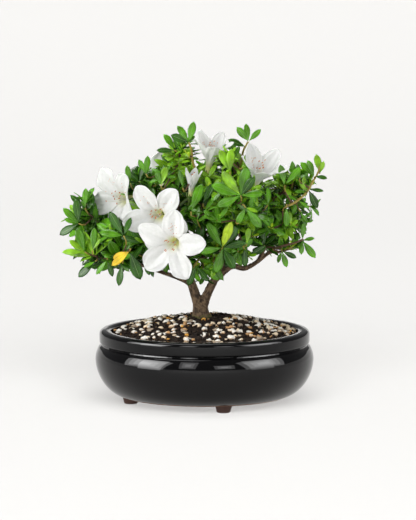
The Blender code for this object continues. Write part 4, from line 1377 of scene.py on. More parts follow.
class Spray(NamedTuple):
    """A shoot that is set where one stands out: its end, the way it grows, and what it bears."""

    end: Point
    way: Point
    leaves: int
    length: float
    tint: Tint
    along: int = 0
    open: float = 1.0


class Leader(NamedTuple):
    """A long shoot that shows: its knots' x, height as seen and how far forward, and its age."""

    knots: tuple[Point, ...]
    young: bool = True


class Rosette(NamedTuple):
    """Leaves that show whole from the front: their hub and each one's tip and tint.

    The hub is given by its x, its height as seen and how far forward it is, a tip by its x, its
    height as seen and its tint, which is the middle one where none is given.
    """

    hub: Point
    tips: tuple[tuple[float | Tint, ...], ...]


class Leaf(NamedTuple):
    """One leaf: where it springs from, its way, its upper side, its length.

    It is free where it may stand out of the crown's outline.
    """

    foot: Vector
    way: Vector
    upper: Vector
    length: float
    free: bool = False


class LeafShape:
    """A leaf's outline and section, and the pale rib along its middle."""

    stations = np.array([0.0, 0.1, 0.26, 0.42, 0.58, 0.74, 0.88, 1.0])
    widths = np.array([0.05, 0.2, 0.56, 0.87, 1.0, 0.93, 0.62, 0.0])
    across = np.array([-1.0, -0.55, 0.0, 0.55, 1.0])
    thickness = 0.32
    rib_width = 0.05
    rib_rise = 0.1
    rib_sunk = 0.04

    def __init__(self) -> None:
        """Work out the faces, which are the same for each leaf."""
        rows, columns = len(self.stations) - 1, len(self.across)
        base = rows * columns + 1
        under = 3
        lower = []
        for row in range(rows - 1):
            here, there = row * columns, (row + 1) * columns
            low, next_low = base + row, base + row + 1
            lower.append((here, low, next_low, there))
            lower.append((low, here + columns - 1, there + columns - 1, next_low))
        tip = rows * columns
        last = (rows - 1) * columns
        fans = [(last + side, tip, last + side + 1) for side in range(columns - 1)]
        fans += [(last, base + rows - 1, tip), (base + rows - 1, last + columns - 1, tip)]
        root = [(0, side, side + 1) for side in range(1, columns - 1)]
        root.append((0, columns - 1, base))
        self.quads = np.concatenate([grid_faces(rows, columns), lower])
        self.triangles = np.array([*fans, *root])
        ribs = []
        for row in range(rows - 2):
            here, there = row * under, (row + 1) * under
            for side in range(under):
                after = (side + 1) % under
                ribs.append((here + side, there + side, there + after, here + after))
        self.rib_quads = np.array(ribs)
        end = (rows - 2) * under
        self.rib_ends = np.array([(0, 1, 2), (end + 2, end + 1, end)])

    def points(
        self, length: float, slim: float, fold: float, droop: float, twist: float
    ) -> tuple[Array, Array]:
        """A leaf's corners along +X with its upper side up, and its rib's corners.

        Args:
            length: Its length.
            slim: Its width over its length.
            fold: How far its halves are folded up.
            droop: How far its tip bends down, as a share of its length.
            twist: How far it turns along its length, in radians.

        Returns:
            The leaf's corners and the rib's.
        """
        half = length * slim / 2
        rows = self.stations[:-1]
        reach = rows * length
        width = self.widths[:-1] * half
        sag = -droop * length * rows**2
        spread = width[:, None] * self.across
        lift = fold * np.abs(spread) - 0.22 * spread**2 / max(half, 0.1) * fold
        turn = twist * rows[:, None]
        y = spread * np.cos(turn)
        z = lift + sag[:, None] + spread * np.sin(turn)
        x = np.repeat(reach[:, None], len(self.across), 1)
        top = np.stack([x, y, z], -1).reshape(-1, 3)
        tip = np.array([[length, 0, -droop * length]])
        below = np.stack([reach, reach * 0, sag - self.thickness], -1)
        rib_half = np.maximum(0.14, self.rib_width * width)
        rib = []
        for row in range(1, len(rows)):
            rib.append((reach[row], 0, sag[row] + self.rib_rise))
            rib.append((reach[row], -rib_half[row], sag[row] - self.rib_sunk))
            rib.append((reach[row], rib_half[row], sag[row] - self.rib_sunk))
        return np.concatenate([top, tip, below]), np.array(rib)


@dataclass
class Foliage:
    """All leaves and the twigs that bear them, grown on from the limbs by one rule."""

    masses: tuple[Mass, ...] = tuple(Mass(*row) for row in (
        ("foliage_left_low", "bough_left", (-82, -10, 125), (41, 31, 25), 12, 300),
        ("foliage_left_high", "bough_left_rise", (-95, 8, 156), (26, 30, 25), 9, 301),
        ("foliage_left_back", "bough_left_back", (-56, 20, 182), (25, 29, 23), 9, 302),
        ("foliage_left_front", "bough_left_front", (-47, -7, 139), (29, 26, 31), 11, 303),
        ("foliage_top_left", "stem_left", (-25, 4, 205), (26, 31, 31), 12, 304),
        ("foliage_top", "stem_right", (26, 5, 201), (27, 32, 35), 12, 405),
        ("foliage_middle", "bough_middle", (0, -5, 171), (24, 24, 27), 12, 314),
        ("foliage_front", "bough_front", (27, -29, 164), (32, 27, 27), 11, 306),
        ("foliage_low_front", "bough_low_front", (12, -24, 128), (30, 22, 24), 12, 307),
        ("foliage_right_top", "bough_right_top", (75, 5, 183), (31, 32, 26), 11, 308),
        ("foliage_right_middle", "bough_right_rise", (70, -8, 153), (28, 30, 21), 12, 309),
        ("foliage_right_low", "bough_right", (71, -2, 129), (27, 26, 19), 8, 310),
        ("foliage_back_left", "bough_back_left", (-54, 48, 150), (37, 30, 31), 10, 311),
        ("foliage_back", "bough_back", (3, 52, 167), (34, 30, 36), 9, 312),
        ("foliage_back_right", "bough_back_right", (54, 46, 153), (35, 30, 30), 9, 313),
    ))
    sprays: tuple[Spray, ...] = tuple(Spray(*row) for row in (
        ((24, -2, 212), (-0.3, -0.1, 0.9), 6, 15, MIDDLE, 2),
        ((74, -6, 186), (0.1, -0.3, 1), 6, 14, BRIGHT, 3, 0.9),
        ((90, 0, 165), (0.9, -0.2, -0.1), 5, 13, MIDDLE, 3),
        ((82, -6, 154), (0.8, -0.3, 0.1), 5, 12, MIDDLE, 2),
        ((38, -43, 163), (0.4, -0.8, 0.3), 6, 18, MIDDLE, 2, 1.1),
        ((0, -40, 165), (0.1, -0.6, 0.8), 6, 19, MIDDLE, 2, 0.9),
        ((-6, -41, 158), (-0.1, -0.8, 0.5), 6, 18, MIDDLE, 2),
        ((28, -38, 131), (0.2, -0.7, -0.4), 6, 16, MIDDLE, 2),
        ((7, -38, 122), (-0.2, -0.6, -0.7), 6, 17, MIDDLE, 2),
        ((-9, -33, 117), (-0.2, -0.5, -0.9), 6, 18, MIDDLE, 2),
        ((-1, -25, 110), (0.2, -0.4, -1), 4, 17, DARK, 1, 0.8),
        ((-100, 6, 168), (-0.1, -0.1, 1), 6, 15, MIDDLE, 4, 0.8),
        ((-107, 2, 158), (-0.8, -0.1, 0.6), 6, 15, BRIGHT, 3, 0.9),
    ))
    leaders: tuple[Leader, ...] = (
        Leader(((-7, 194, 12), (-10, 203, 15), (-11, 212, 18), (-13, 218, 19))),
        Leader(((30, 195, 2), (31, 204, 2), (33, 213, 1), (37, 220, -1))),
        Leader(((68, 164, 26), (76, 168, 22), (85, 176, 14), (91, 186, 8), (95, 193, 5), (97, 200, 3))),
        Leader(((58, 129, 12), (68, 132, 14), (76, 134, 14), (83, 137, 14)), young=False),
    )
    rosettes: tuple[Rosette, ...] = tuple(Rosette(*row) for row in (
        ((-67, 139, 41), ((-79, 159, DARK), (-61, 154, DARK), (-87, 142))),
        ((-105, 150, 18), ((-122, 141, DARK), (-118, 163), (-117, 154), (-107, 170, DARK))),
        ((-100, 126, 24), ((-119, 126, BRIGHT), (-112, 136, BRIGHT), (-106, 146))),
        ((-91, 118, 28), ((-106, 105, DARK), (-101, 113))),
        ((-81, 119, 32), ((-91, 107), (-76, 105, DARK))),
        ((-68, 116, 36), ((-72, 97, DARK),)),
        ((-62, 126, 41), ((-53, 102, DARK), (-76, 120, YELLOW), (-77, 114, YELLOW))),
        ((-50, 119, 32), ((-46, 106, DARK),)),
        ((-93, 127, 34), ((-91, 146), (-87, 137, BRIGHT))),
        ((-100, 163, 14), ((-100, 180), (-112, 174, DARK))),
        ((-62, 184, 14), ((-65, 199),)),
        ((-49, 192, 13), ((-47, 207), (-55, 204))),
        ((-25, 212, 11), ((-33, 226), (-40, 212, DARK))),
        ((-13, 218, 19), ((-22, 232), (-9, 235), (-28, 224, DARK))),
        ((-18, 179, 38), ((-20, 194),)),
        ((-36, 181, 34), ((-32, 197, BRIGHT), (-40, 193))),
        ((-11, 159, 43), ((-2, 182),)),
        ((-1, 166, 37), ((7, 183, DARK),)),
        ((37, 220, -1), ((27, 232), (35, 235), (47, 230))),
        ((35, 215, 1), ((20, 222, DARK),)),
        ((97, 193, 4), ((94, 209, BRIGHT), (100, 203, BRIGHT))),
        ((92, 190, 8), ((87, 204), (81, 202), (103, 189, DARK))),
        ((87, 179, 12), ((100, 178, DARK), (95, 163, DARK))),
        ((86, 177, 15), ((79, 185, BRIGHT), (75, 178))),
        ((78, 169, 21), ((68, 174), (73, 157), (88, 163))),
        ((80, 160, 19), ((86, 150),)),
        ((67, 182, 25), ((80, 197), (63, 199))),
        ((68, 163, 36), ((68, 146),)),
        ((82, 136, 14), ((83, 151), (92, 138), (93, 121), (81, 124))),
        ((65, 127, 18), ((69, 113), (77, 121, DARK), (61, 117))),
        ((30, 172, 51), (
            (6, 181), (10, 163), (48, 174),
            (14, 191, BRIGHT), (35, 196), (41, 187, DARK),
        )),
        ((34, 162, 50), ((27, 148), (44, 159, BRIGHT), (47, 145))),
        ((21, 192, 41), ((13, 211, BRIGHT), (22, 211, BRIGHT))),
        ((15, 129, 47), (
            (2, 150), (27, 147, DARK), (-4, 125), (34, 133, DARK),
            (10, 107), (25, 111, DARK), (22, 150, YOUNG), (18, 141, YOUNG),
        )),
        ((33, 128, 41), ((34, 113, DARK),)),
        ((35, 132, 44), ((37, 146, BRIGHT),)),
        ((-7, 114, 40), ((-14, 97, DARK), (3, 101, DARK))),
    ))
    leader_radii: Pair = (1.1, 0.75)
    least_twig: float = 1.5
    petiole_share: float = 0.05
    leader_steps: int = 5
    shown_shares: tuple[float, ...] = (0.35, 0.7, 1.0)
    shown_room: float = 4.2
    leader_room: float = 2.0
    shown_depth: float = 2.0
    shells: tuple[Pair, ...] = ((1.0, 1.5), (0.6, 0.8))
    crown_middle: Point = (-5.0, 15.0, 135.0)
    leaf_reach: float = 16.0
    least_inset: float = 0.25
    turn_jitter: float = 0.25
    rise: float = 0.85
    outward: float = 0.7
    stem_share: float = 0.7
    joint_stations: Pair = (0.3, 0.8)
    joint_depth_cost: float = 0.4
    shortest_twig: float = 7.0
    twig_points: int = 7
    stem_end: float = 0.95
    shoot_radii: Pair = (0.85, 0.5)
    whorl_leaves: tuple[int, int] = (5, 7)
    leans: tuple[Pair, ...] = ((34, 54), (60, 84))
    leaf_length: Pair = (14.0, 20.0)
    leaf_slim: Pair = (0.33, 0.42)
    attempts: tuple[float, ...] = (1.0, 0.84, 0.7, 0.55)
    least_ribbed: float = 11.0
    reach_beyond: float = 1.3
    crown_low: Point = (-123.0, -95.0, 100.0)
    crown_high: Point = (104.0, 95.0, 235.5)
    front_outline: tuple[Pair, ...] = (
        (-92, 114), (-106, 124), (-107, 134), (-112, 145), (-106, 166), (-99, 176), (-85, 164),
        (-71, 164), (-64, 190), (-52, 198), (-38, 199), (-28, 216), (-20, 226), (-10, 226),
        (-6, 214), (15, 212), (24, 214), (36, 209), (42, 196), (57, 192), (80, 201), (94, 189),
        (84, 176), (88, 164), (84, 142), (79, 130), (60, 128), (48, 124), (38, 119), (15, 117),
        (2, 101), (-8, 112), (-46, 112),
    )
    view_rise: float = 0.139
    fill_tries: int = 9000
    fill_gap: float = 12.0
    fill_inset: float = 6.0
    fill_depths: Pair = (0.45, 0.94)
    spray_reach: float = 16.0
    seed: int = 5
    rib: PlainFinish = PlainFinish("leaf_ribs", (0.2, 0.36, 0.075), 0.5)
    twig: PlainFinish = PlainFinish("twigs", (0.13, 0.072, 0.035), 0.8)
    shoot: PlainFinish = PlainFinish("young_shoots", (0.36, 0.28, 0.045), 0.55)

    def within(self, place: Vector, mass: Mass) -> bool:
        """Whether a place is in a mass's own space and on its side of each neighbour."""
        offset = place - Vector(mass.centre)
        if sum((offset[i] / mass.radii[i]) ** 2 for i in range(3)) > 1:
            return False

        def power(other: Mass) -> float:
            size = sum(other.radii) / 3
            return (place - Vector(other.centre)).length_squared - size * size

        own = power(mass)
        return all(power(other) >= own for other in self.masses)

    def in_reach(self, place: Vector) -> bool:
        """Whether a place lies within the reach of any mass and of the crown."""
        if any(not low < at < high for low, at, high in zip(self.crown_low, place, self.crown_high)):
            return False
        return self.depth(place) < self.reach_beyond

    def depth(self, place: Vector) -> float:
        """How far out a place is in the mass that holds it best: 0 at its centre, 1 at its skin."""
        offset = (np.array(place) - self.centres) / self.spans
        return float(np.sqrt((offset**2).sum(1).min()))

    def in_outline(self, place: Vector) -> bool:
        """Whether a place lies within the crown's outline as it shows from the front."""
        x, height = place.x, place.z + self.view_rise * place.y
        inside = False
        ends = (*self.front_outline[1:], self.front_outline[0])
        for (x0, low), (x1, high) in zip(self.front_outline, ends):
            if (low > height) != (high > height):
                inside ^= x < x0 + (height - low) * (x1 - x0) / (high - low)
        return inside

    def shoot_tips(self, mass: Mass, rng: Random) -> list[tuple[Vector, Vector, float]]:
        """Places for shoots' ends in shells over a mass, the way each grows, and its shell.

        Args:
            mass: The mass.
            rng: The source of their jitter.

        Returns:
            Each end's place, way and shell, which is 1 at the mass's skin.
        """
        tips = []
        for shell, factor in self.shells:
            count = round(mass.shoots * factor)
            for number in range(count):
                height = 1 - (2 * number + 1) / count
                ring = sqrt(1 - height * height)
                turn = number * GOLDEN_ANGLE + rng.uniform(-self.turn_jitter, self.turn_jitter)
                out = Vector((ring * cos(turn), ring * sin(turn), height))
                inset = [max(r - self.leaf_reach, self.least_inset * r) for r in mass.radii]
                jitter = shell * rng.uniform(0.88, 1.0)
                place = Vector(mass.centre) + Vector(o * r * jitter for o, r in zip(out, inset))
                away = (place - Vector(self.crown_middle)).normalized()
                way = out + self.outward * away + self.rise * UP
                tips.append((place, way.normalized(), shell))
        return tips

    def joints_on(self, path: Path) -> Path:
        """Places that one twig each may branch from, along a path below its leaves."""
        knots = [path[0], path[len(path) // 3], path[-1]]
        spans = zip(knots[:-1], knots[1:])
        return [a.lerp(b, share) for a, b in spans for share in self.joint_stations][1:-1]

    def grow(self, mass: Mass, paths: dict[str, Path], rng: Random) -> None:
        """Grow one mass: a stem out of its limb's tip, and twigs from the stem to the tips.

        Args:
            mass: The mass.
            paths: The limbs' paths by name.
            rng: The source of what differs from twig to twig.
        """
        limb = paths[mass.limb]
        tip, before = Vector(limb[-1][:3]), Vector(limb[-2][:3])
        heading = (tip - before).normalized()
        centre = Vector(mass.centre)
        way = (centre - tip).normalized()
        end = tip.lerp(centre, self.stem_share)
        stem = arc(tip - heading * 1.5, heading, end, (way + self.rise * UP).normalized(), 12)
        self.wood.add(*tube(stem, np.linspace(limb[-1][3], self.stem_end, 12).tolist(), 8))
        joints = [stem[number] for number in (4, 5, 7, 8, 9, 10, 11)]
        tips = sorted(self.shoot_tips(mass, rng), key=lambda item: (item[0] - stem[0]).length)
        self.bear_leaves(stem, rng, 1.0)
        self.knots.extend(joints)
        for place, growth, shell in tips:
            if not self.within(place, mass) or self.blossoms.in_clearing(place):
                continue
            if not self.in_outline(place + growth * self.fill_inset):
                continue
            costs = [
                (place - joint).length + self.joint_depth_cost * (joint - stem[0]).length
                for joint in joints
            ]
            near = joints[costs.index(min(costs))]
            if (place - near).length < self.shortest_twig or self.blocked(near, place):
                continue
            path = self.grow_twig(near, place - near, place, growth)
            self.ends.append(place)
            joints.remove(near)
            joints.extend([path[2], path[4], *self.joints_on(path)])
            self.knots.extend(path[2:5])
            self.bear_leaves(path, rng, shell)

    def fill(self, rng: Random) -> None:
        """Shoots wherever the outer part of the crown still has room for one."""
        low, high = self.fill_depths
        for _ in range(self.fill_tries):
            place = Vector([rng.uniform(*ends) for ends in zip(self.crown_low, self.crown_high)])
            depth = self.depth(place)
            if not low < depth < high or not self.in_outline(place) or self.blossoms.in_clearing(place):
                continue
            gap = self.fill_gap * max(1, self.size_at(place))
            if min((place - end).length for end in self.ends) < gap:
                continue
            near = self.nearest_knot(place)
            if self.blocked(near, place):
                continue
            away = (place - Vector(self.crown_middle)).normalized()
            stray = Vector([rng.gauss(0, 0.35) for _ in range(3)])
            growth = (away + self.rise * UP + stray).normalized()
            if not self.in_outline(place + growth * self.fill_inset):
                continue
            path = self.grow_twig(near, place - near, place, growth)
            self.ends.append(place)
            self.knots.extend(path[3:5])
            self.bear_leaves(path, rng, depth + 0.06)

    def nearest_knot(self, place: Vector) -> Vector:
        """The knot on the twigs so far that lies nearest to a place."""
        return min(self.knots, key=lambda knot: (knot - place).length)

    def grow_twig(self, start: Vector, heading: Vector, end: Vector, way: Vector) -> Path:
        """Add a twig, brown at its foot and green or amber where it is young.

        Args:
            start: Where it branches off.
            heading: The way that it leaves.
            end: Where it ends.
            way: The way that it points there, as a unit vector.

        Returns:
            Its path.
        """
        path = arc(start, heading.normalized(), end, way, self.twig_points)
        radii = np.linspace(*self.shoot_radii, len(path)).tolist()
        turn = len(path) * 3 // 5
        self.wood.add(*tube(path[: turn + 1], radii[: turn + 1], 6))
        self.green.add(*tube(path[turn:], [radius * 1.04 for radius in radii[turn:]], 6))
        return path

    def blocked(self, start: Vector, end: Vector) -> bool:
        """Whether a petal lies between two places."""
        way = end - start
        hit = self.petals.ray_cast(Place.point(start), way.normalized(), way.length * MM)
        return hit[0] is not None

    def fits(self, leaf: Leaf) -> bool:
        """Whether a leaf stays in the crown's reach, off the petals and out of a bloom's room."""
        tip = leaf.foot + leaf.way * leaf.length
        middle = leaf.foot + leaf.way * leaf.length * 0.6
        if not self.in_reach(tip) or self.blossoms.in_clearing(middle):
            return False
        if self.hides(leaf) or not leaf.free and not self.in_outline(middle):
            return False
        side = leaf.upper.cross(leaf.way).normalized() * leaf.length * 0.2
        edges = middle - side, middle + side
        lines = ((leaf.foot, tip), edges, *((leaf.foot, edge) for edge in edges))
        return not any(self.blocked(start, end) for start, end in lines)

    def hides(self, leaf: Leaf) -> bool:
        """Whether a leaf would stand in front of one that is to show whole, or of a leader."""
        for share in self.shown_shares:
            place = leaf.foot + leaf.way * leaf.length * share
            offset = np.array((place.x, place.z + self.view_rise * place.y)) - self.shown_feet
            along = (offset * self.shown_ways).sum(1) / (self.shown_ways**2).sum(1)
            gap = offset - np.clip(along, 0, 1)[:, None] * self.shown_ways
            near = (gap**2).sum(1) < self.shown_rooms**2
            if (near & (place.y < self.shown_depth - self.shown_depths)).any():
                return True
        return False

    def tint_at(self, place: Vector, shell: float, rng: Random) -> Tint:
        """The tint of a spray: painted light and painted shade, brighter on top and outside, darker below and
        within.

        Args:
            place: Its end.
            shell: How far out it is, 1 at a mass's skin.
            rng: The source of chance.

        Returns:
            The tint.
        """
        # Painted light and shade: higher and outer sprays get the brighter tint, lower and inner ones the
        # darker tint.
        high = (place.z - 150) / 60
        light = 0.45 * high + 0.9 * (shell - 0.8) + rng.gauss(0, 0.42)
        if light < -0.12:
            return DARK
        if light < 0.42:
            return MIDDLE
        return BRIGHT

    def size_at(self, place: Vector) -> float:
        """How large leaves are: the largest low on the left, the smallest out on the right."""
        return min(1.35, max(0.8, 1.0 - place.x / 300 + (150 - place.z) / 300))

    def add_leaf(self, leaf: Leaf, tint: Tint, rng: Random) -> bool:
        """Put a leaf in place, smaller where there is no room for it whole.

        Args:
            leaf: The leaf at its full length.
            tint: Its tint.
            rng: The source of its shape.

        Returns:
            Whether there was room.
        """
        for share in self.attempts:
            tried = leaf._replace(length=leaf.length * share)
            if self.fits(tried):
                break
        else:
            return False
        self.lay_leaf(tried, tint, rng)
        return True

    def lay_leaf(self, leaf: Leaf, tint: Tint, rng: Random) -> None:
        """Shape a leaf and put it in place."""
        slim = rng.uniform(*self.leaf_slim)
        fold, droop = rng.uniform(0.1, 0.34), rng.uniform(0.02, 0.2)
        twist = rng.uniform(-0.3, 0.3)
        points, rib = self.shape.points(leaf.length, slim, fold, droop, twist)
        side = leaf.upper.cross(leaf.way).normalized()
        axes = np.array([leaf.way, side, leaf.way.cross(side)])
        foot = np.array(leaf.foot)
        self.leaves[tint].add(points @ axes + foot, self.shape.quads, self.shape.triangles)
        if leaf.length > self.least_ribbed:
            self.ribs.add(rib @ axes + foot, self.shape.rib_quads, self.shape.rib_ends)

    def bear_leaves(self, path: Path, rng: Random, shell: float) -> None:
        """A whorl at a twig's end, a few leaves below it, and at times a tuft of young ones.

        Args:
            path: The twig's path.
            rng: The source of chance.
            shell: How far out its end is, 1 at a mass's skin.
        """
        heading = (path[-1] - path[-2]).normalized()
        tint = self.tint_at(path[-1], shell, rng)
        longest = rng.uniform(*self.leaf_length) * self.size_at(path[-1])
        count = rng.randint(*self.whorl_leaves)
        self.whorl(path[-1], heading, count, longest, tint, rng, self.leans)
        for number in range(rng.randint(2, 4)):
            place = point_along(path, rng.uniform(0.45, 0.9))
            self.whorl(place, heading, 1, longest * rng.uniform(0.7, 0.95), tint, rng, ((50, 85),))
        if shell > 0.9 and rng.random() < 0.5:
            young = YOUNG if rng.random() < 0.4 else BRIGHT
            self.whorl(path[-1] + heading * 0.6, heading, 3, longest * 0.48, young, rng, ((12, 32),))

    def whorl(
        self, hub: Vector, heading: Vector, count: int, length: float, tint: Tint, rng: Random,
        leans: Sequence[Pair], free: bool = False,
    ) -> None:
        """Leaves round a shoot, leaning out of its way by the given ranges of angles in turn.

        Args:
            hub: Where they spring from.
            heading: The shoot's way.
            count: How many they are.
            length: Their length, give or take.
            tint: Their tint.
            rng: The source of their turns, leans and lengths.
            leans: Ranges of degrees from the shoot's way.
            free: Whether they may stand out of the crown's outline.
        """
        side = heading.orthogonal().normalized()
        start = rng.uniform(0, 2 * pi)
        for number in range(count):
            turn = start + number * 2 * pi / count + rng.uniform(-0.16, 0.16)
            lean = radians(rng.uniform(*leans[number % len(leans)]))
            out = Matrix.Rotation(turn, 3, heading) @ side
            way = heading * cos(lean) + out * sin(lean)
            upper = (heading - way * heading.dot(way)).normalized() + 0.3 * UP
            foot = hub + out * 0.35 - heading * rng.uniform(0, 1.6)
            self.add_leaf(Leaf(foot, way, upper, length * rng.uniform(0.78, 1.12), free), tint, rng)

    def set_sprays(self, rng: Random) -> None:
        """The shoots that stand out of the crown, each at its own place."""
        for spray in self.sprays:
            end, way = Vector(spray.end), Vector(spray.way).normalized()
            foot = end - way * self.spray_reach
            start = self.nearest_knot(foot)
            path = self.grow_twig(start, foot - start + way * 6, end, way)
            self.ends.append(end)
            heading = (path[-1] - path[-2]).normalized()
            leans = [(low * spray.open, high * spray.open) for low, high in self.leans]
            self.whorl(end, heading, spray.leaves, spray.length, spray.tint, rng, leans, True)
            for number in range(spray.along):
                place = point_along(path, (number + 0.6) / spray.along * 0.85)
                self.whorl(place, heading, 1, spray.length * 0.8, spray.tint, rng, ((35, 65),), True)

    def seen_at(self, x: float, height: float, forward: float) -> Vector:
        """A place by its x, its height as seen from the front, and how far forward it is."""
        return Vector((x, -forward, height + self.view_rise * forward))

    def plan_shown(self) -> None:
        """Note the lines, as seen from the front, that other leaves are not to cover."""
        lines = [(*a, *b) for knots, _ in self.leaders for a, b in zip(knots, knots[1:])]
        leader_lines = len(lines)
        for hub, tips in self.rosettes:
            lines.extend((*hub, *tip[:2], hub[2]) for tip in tips)
        table = np.array(lines, float)
        self.shown_rooms = np.full(len(lines), self.shown_room)
        self.shown_rooms[:leader_lines] = self.leader_room
        self.shown_feet, self.shown_ways = table[:, :2], table[:, 3:5] - table[:, :2]
        self.shown_depths = (table[:, 2] + table[:, 5]) / 2

    def set_rosettes(self, rng: Random) -> None:
        """The leaders, and the leaves that show whole from the front, with their faces to it."""
        for leader in self.leaders:
            path = smooth_path([self.seen_at(*knot) for knot in leader.knots], self.leader_steps)
            near = self.nearest_knot(path[0])
            self.grow_twig(near, path[0] - near, path[0], (path[1] - path[0]).normalized())
            batch = self.green if leader.young else self.wood
            batch.add(*tube(path, np.linspace(*self.leader_radii, len(path)).tolist(), 8))
            self.knots.extend(path[1:])
        for rosette in self.rosettes:
            hub = self.seen_at(*rosette.hub)
            tips = [
                self.seen_at(*tip[:2], rosette.hub[2] + number + rng.uniform(-0.5, 1.5))
                for number, tip in enumerate(rosette.tips)
            ]
            middle = sum(tips, Vector()) / len(tips)
            near = self.nearest_knot(hub)
            if (near - hub).length > self.least_twig:
                self.grow_twig(near, hub - near, hub, (middle - hub).normalized())
            self.ends.append(hub)
            for tip, (_, _, *given) in zip(tips, rosette.tips):
                foot = hub.lerp(tip, self.petiole_share)
                face = Vector((rng.uniform(-0.5, 0.5), -1, rng.uniform(0.1, 0.8)))
                leaf = Leaf(foot, (tip - foot).normalized(), face, (tip - foot).length)
                self.lay_leaf(leaf, given[0] if given else MIDDLE, rng)

    def build(self, paths: dict[str, Path], blossoms: Blossoms, petals: Piece) -> None:
        """Grow every mass and join what they bear, each kind apart.

        Args:
            paths: The limbs' paths by name.
            blossoms: The blossoms, which leaves keep clear of.
            petals: The blossoms' petals as made.
        """
        self.blossoms = blossoms
        self.petals = BVHTree.FromObject(petals, bpy.context.evaluated_depsgraph_get())
        self.shape = LeafShape()
        self.centres = np.array([mass.centre for mass in self.masses], float)
        self.spans = np.array([mass.radii for mass in self.masses], float)
        self.leaves = {tint: Batch() for tint in Tint}
        self.ribs, self.wood, self.green = Batch(), Batch(), Batch()
        self.knots: Path = []
        self.ends: Path = []
        self.plan_shown()
        for mass in self.masses:
            self.grow(mass, paths, Random(mass.seed))
        self.set_rosettes(Random(self.seed + 2))
        self.set_sprays(Random(self.seed))
        self.fill(Random(self.seed + 1))
        for tint, batch in self.leaves.items():
            nodes = [mass.name for mass in self.masses] if tint is MIDDLE else []
            dress(batch.build(tint.value.name, tint.value.material()), "leaf", *nodes)
        dress(self.ribs.build("leaf_ribs", self.rib.material()), "leaf")
        dress(self.wood.build("twigs", self.twig.material()), "bark")
        dress(self.green.build("young_shoots", self.shoot.material()), "leaf")


# Studio


class Lamp(NamedTuple):
    """A soft box: where it stands, what it is turned to, its width, height and power.

    Its edges are soft where it has several layers. It lights the pieces that it names, or
    else all but the floor. It may be clear, so that none but the floor stands in its light.
    """

    name: str
    place: Point
    target: Point
    size: Pair
    watts: float
    layers: int = 1
    lit: tuple[str, ...] = ()
    clear: bool = False


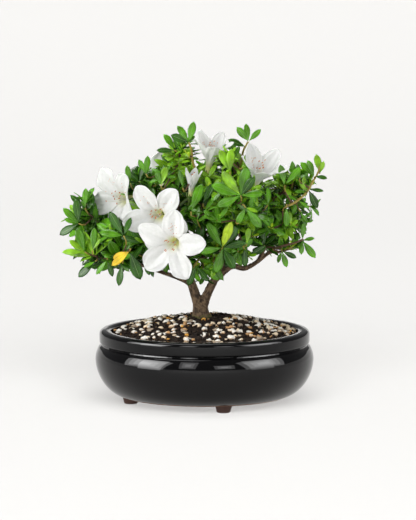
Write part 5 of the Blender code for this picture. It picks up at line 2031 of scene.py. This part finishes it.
@dataclass
class Studio:
    """A pale floor that curves up all round, soft boxes and a long-lensed camera."""

    floor_radius: float = 2000.0
    sweep_radius: float = 3500.0
    sweep_turn: float = radians(34)
    sweep_steps: int = 12
    floor_steps: int = 96
    floor_colour: Colour = (0.15, 0.1482, 0.144)
    world: Colour = (1.0, 1.0, 1.0)
    world_strength: float = 0.17
    look: str = "Standard"
    lamps: tuple[Lamp, ...] = (
        Lamp("box_left", (-1050, -640, 560), (0, 0, 130), (640, 960), 13.5),
        Lamp("box_right", (1050, -560, 560), (0, 0, 130), (640, 960), 5.5),
        Lamp("box_over", (-150, 150, 1300), (0, 0, 130), (900, 700), 9.0),
        Lamp("box_floor", (0, 0, 3000), (0, 0, 0), (14000, 14000), 1480.0, 1, ("floor",), True),
        Lamp("box_front", (0, -4500, 2600), (0, 0, 0), (6000, 2600), 1270.0, 1, ("floor",)),
        Lamp("box_shade", (0, 0, 12000), (0, 0, 0), (4000, 4000), 950.0, 1, ("floor",)),
        Lamp("box_back", (0, 3800, 2500), (0, 3000, 100), (7000, 2000), 225.0, 1, ("floor",), True),
        Lamp("shine_left", (-1200, -510, 640), (0, 0, 60), (1300, 900), 70.0, 4, ("pot_glazed",)),
        Lamp("shine_window", (-400, -1237, 780), (0, 0, 60), (450, 800), 9.0, 3, ("pot_glazed",)),
        Lamp("shine_pane", (466, -1213, 550), (0, 0, 60), (500, 400), 5.0, 3, ("pot_glazed",)),
        Lamp("shine_right", (1200, -510, 640), (0, 0, 60), (1300, 900), 50.0, 4, ("pot_glazed",)),
    )
    camera_target: Point = (2.95, 0.0, 119.75)
    camera_distance: float = 2500.0
    camera_height: float = radians(6.57)
    frame_height: float = 438.7
    sensor: float = 36.0

    def floor(self) -> Piece:
        """The floor and the wall round it, turned as one wide bowl."""
        turns = np.linspace(0, self.sweep_turn, self.sweep_steps + 1).tolist()
        radius = self.sweep_radius
        sweep = [(self.floor_radius + radius * sin(t), radius * (1 - cos(t))) for t in turns]
        floor = lathe("floor", [(0, 0), *sweep], self.floor_steps, seam=False)
        graph = Graph("pale_floor")
        floor.data.materials.append(graph.surface(Base_Color=self.floor_colour, Roughness=0.9))
        return floor

    def lights(self) -> None:
        """The soft boxes and the even light of the room."""
        for lamp in self.lamps:
            for layer in range(lamp.layers):
                self.light(lamp, 1 - layer / lamp.layers)
        world = bpy.data.worlds.new("room")
        world.use_nodes = True
        background = world.node_tree.nodes["Background"]
        background.inputs["Color"].default_value = (*self.world, 1)
        background.inputs["Strength"].default_value = self.world_strength
        bpy.context.scene.world = world
        bpy.context.scene.view_settings.view_transform = self.look

    def light(self, lamp: Lamp, share: float) -> None:
        """One layer of a soft box, at a share of its size.

        With importance sampling the pot still shades a clear lamp, so it goes without.

        Args:
            lamp: The soft box.
            share: The layer's size as a share of the whole one.
        """
        data = bpy.data.lights.new(lamp.name, "AREA")
        data.shape = "RECTANGLE"
        data.size, data.size_y = (side * share * MM for side in lamp.size)
        data.energy = lamp.watts * share**2 / lamp.layers
        light = put(lamp.name, data)
        way = Place.point(lamp.target) - Place.point(lamp.place)
        light.location = Place.point(lamp.place) + way.normalized() * (1 - share) * MM
        light.rotation_euler = way.to_track_quat("-Z", "Y").to_euler()
        lit = self.group(f"{lamp.name}_lit", *(lamp.lit or ("floor",)))
        if not lamp.lit:
            lit.collection_objects[0].light_linking.link_state = "EXCLUDE"
        light.light_linking.receiver_collection = lit
        if lamp.clear:
            light.light_linking.blocker_collection = self.group(f"{lamp.name}_cut", "floor")
            data.cycles.use_multiple_importance_sampling = False

    @staticmethod
    def group(name: str, *pieces: str) -> bpy.types.Collection:
        """A collection of pieces that a lamp lights or leaves out, or that stand in its light."""
        group = bpy.data.collections.new(name)
        for piece in pieces:
            group.objects.link(bpy.data.objects[piece])
        return group

    def camera(self) -> None:
        """The camera, a little above the pot's rim and far away."""
        data = bpy.data.cameras.new("camera")
        data.sensor_width = self.sensor
        data.lens = self.sensor * self.camera_distance / self.frame_height
        data.clip_start, data.clip_end = 0.05, 20
        camera = put("camera", data)
        back = Vector((0, -cos(self.camera_height), sin(self.camera_height)))
        camera.location = Place.point(self.camera_target) + back * self.camera_distance * MM
        camera.rotation_euler = (-back).to_track_quat("-Z", "Y").to_euler()
        bpy.context.scene.camera = camera

    def build(self) -> None:
        """Floor, lights and camera."""
        self.floor()
        self.lights()
        self.camera()


def main() -> None:
    """Build the plant and its pot, then the studio."""
    logging.basicConfig(level=logging.INFO, format="%(name)s: %(message)s")
    Pot().build()
    Soil().build()
    wood = Wood()
    wood.build()
    paths = wood.paths()
    blossoms = Blossoms()
    petals, *_ = blossoms.build(paths)
    Foliage().build(paths, blossoms, petals)
    Studio().build()


if __name__ == "__main__":
    main()
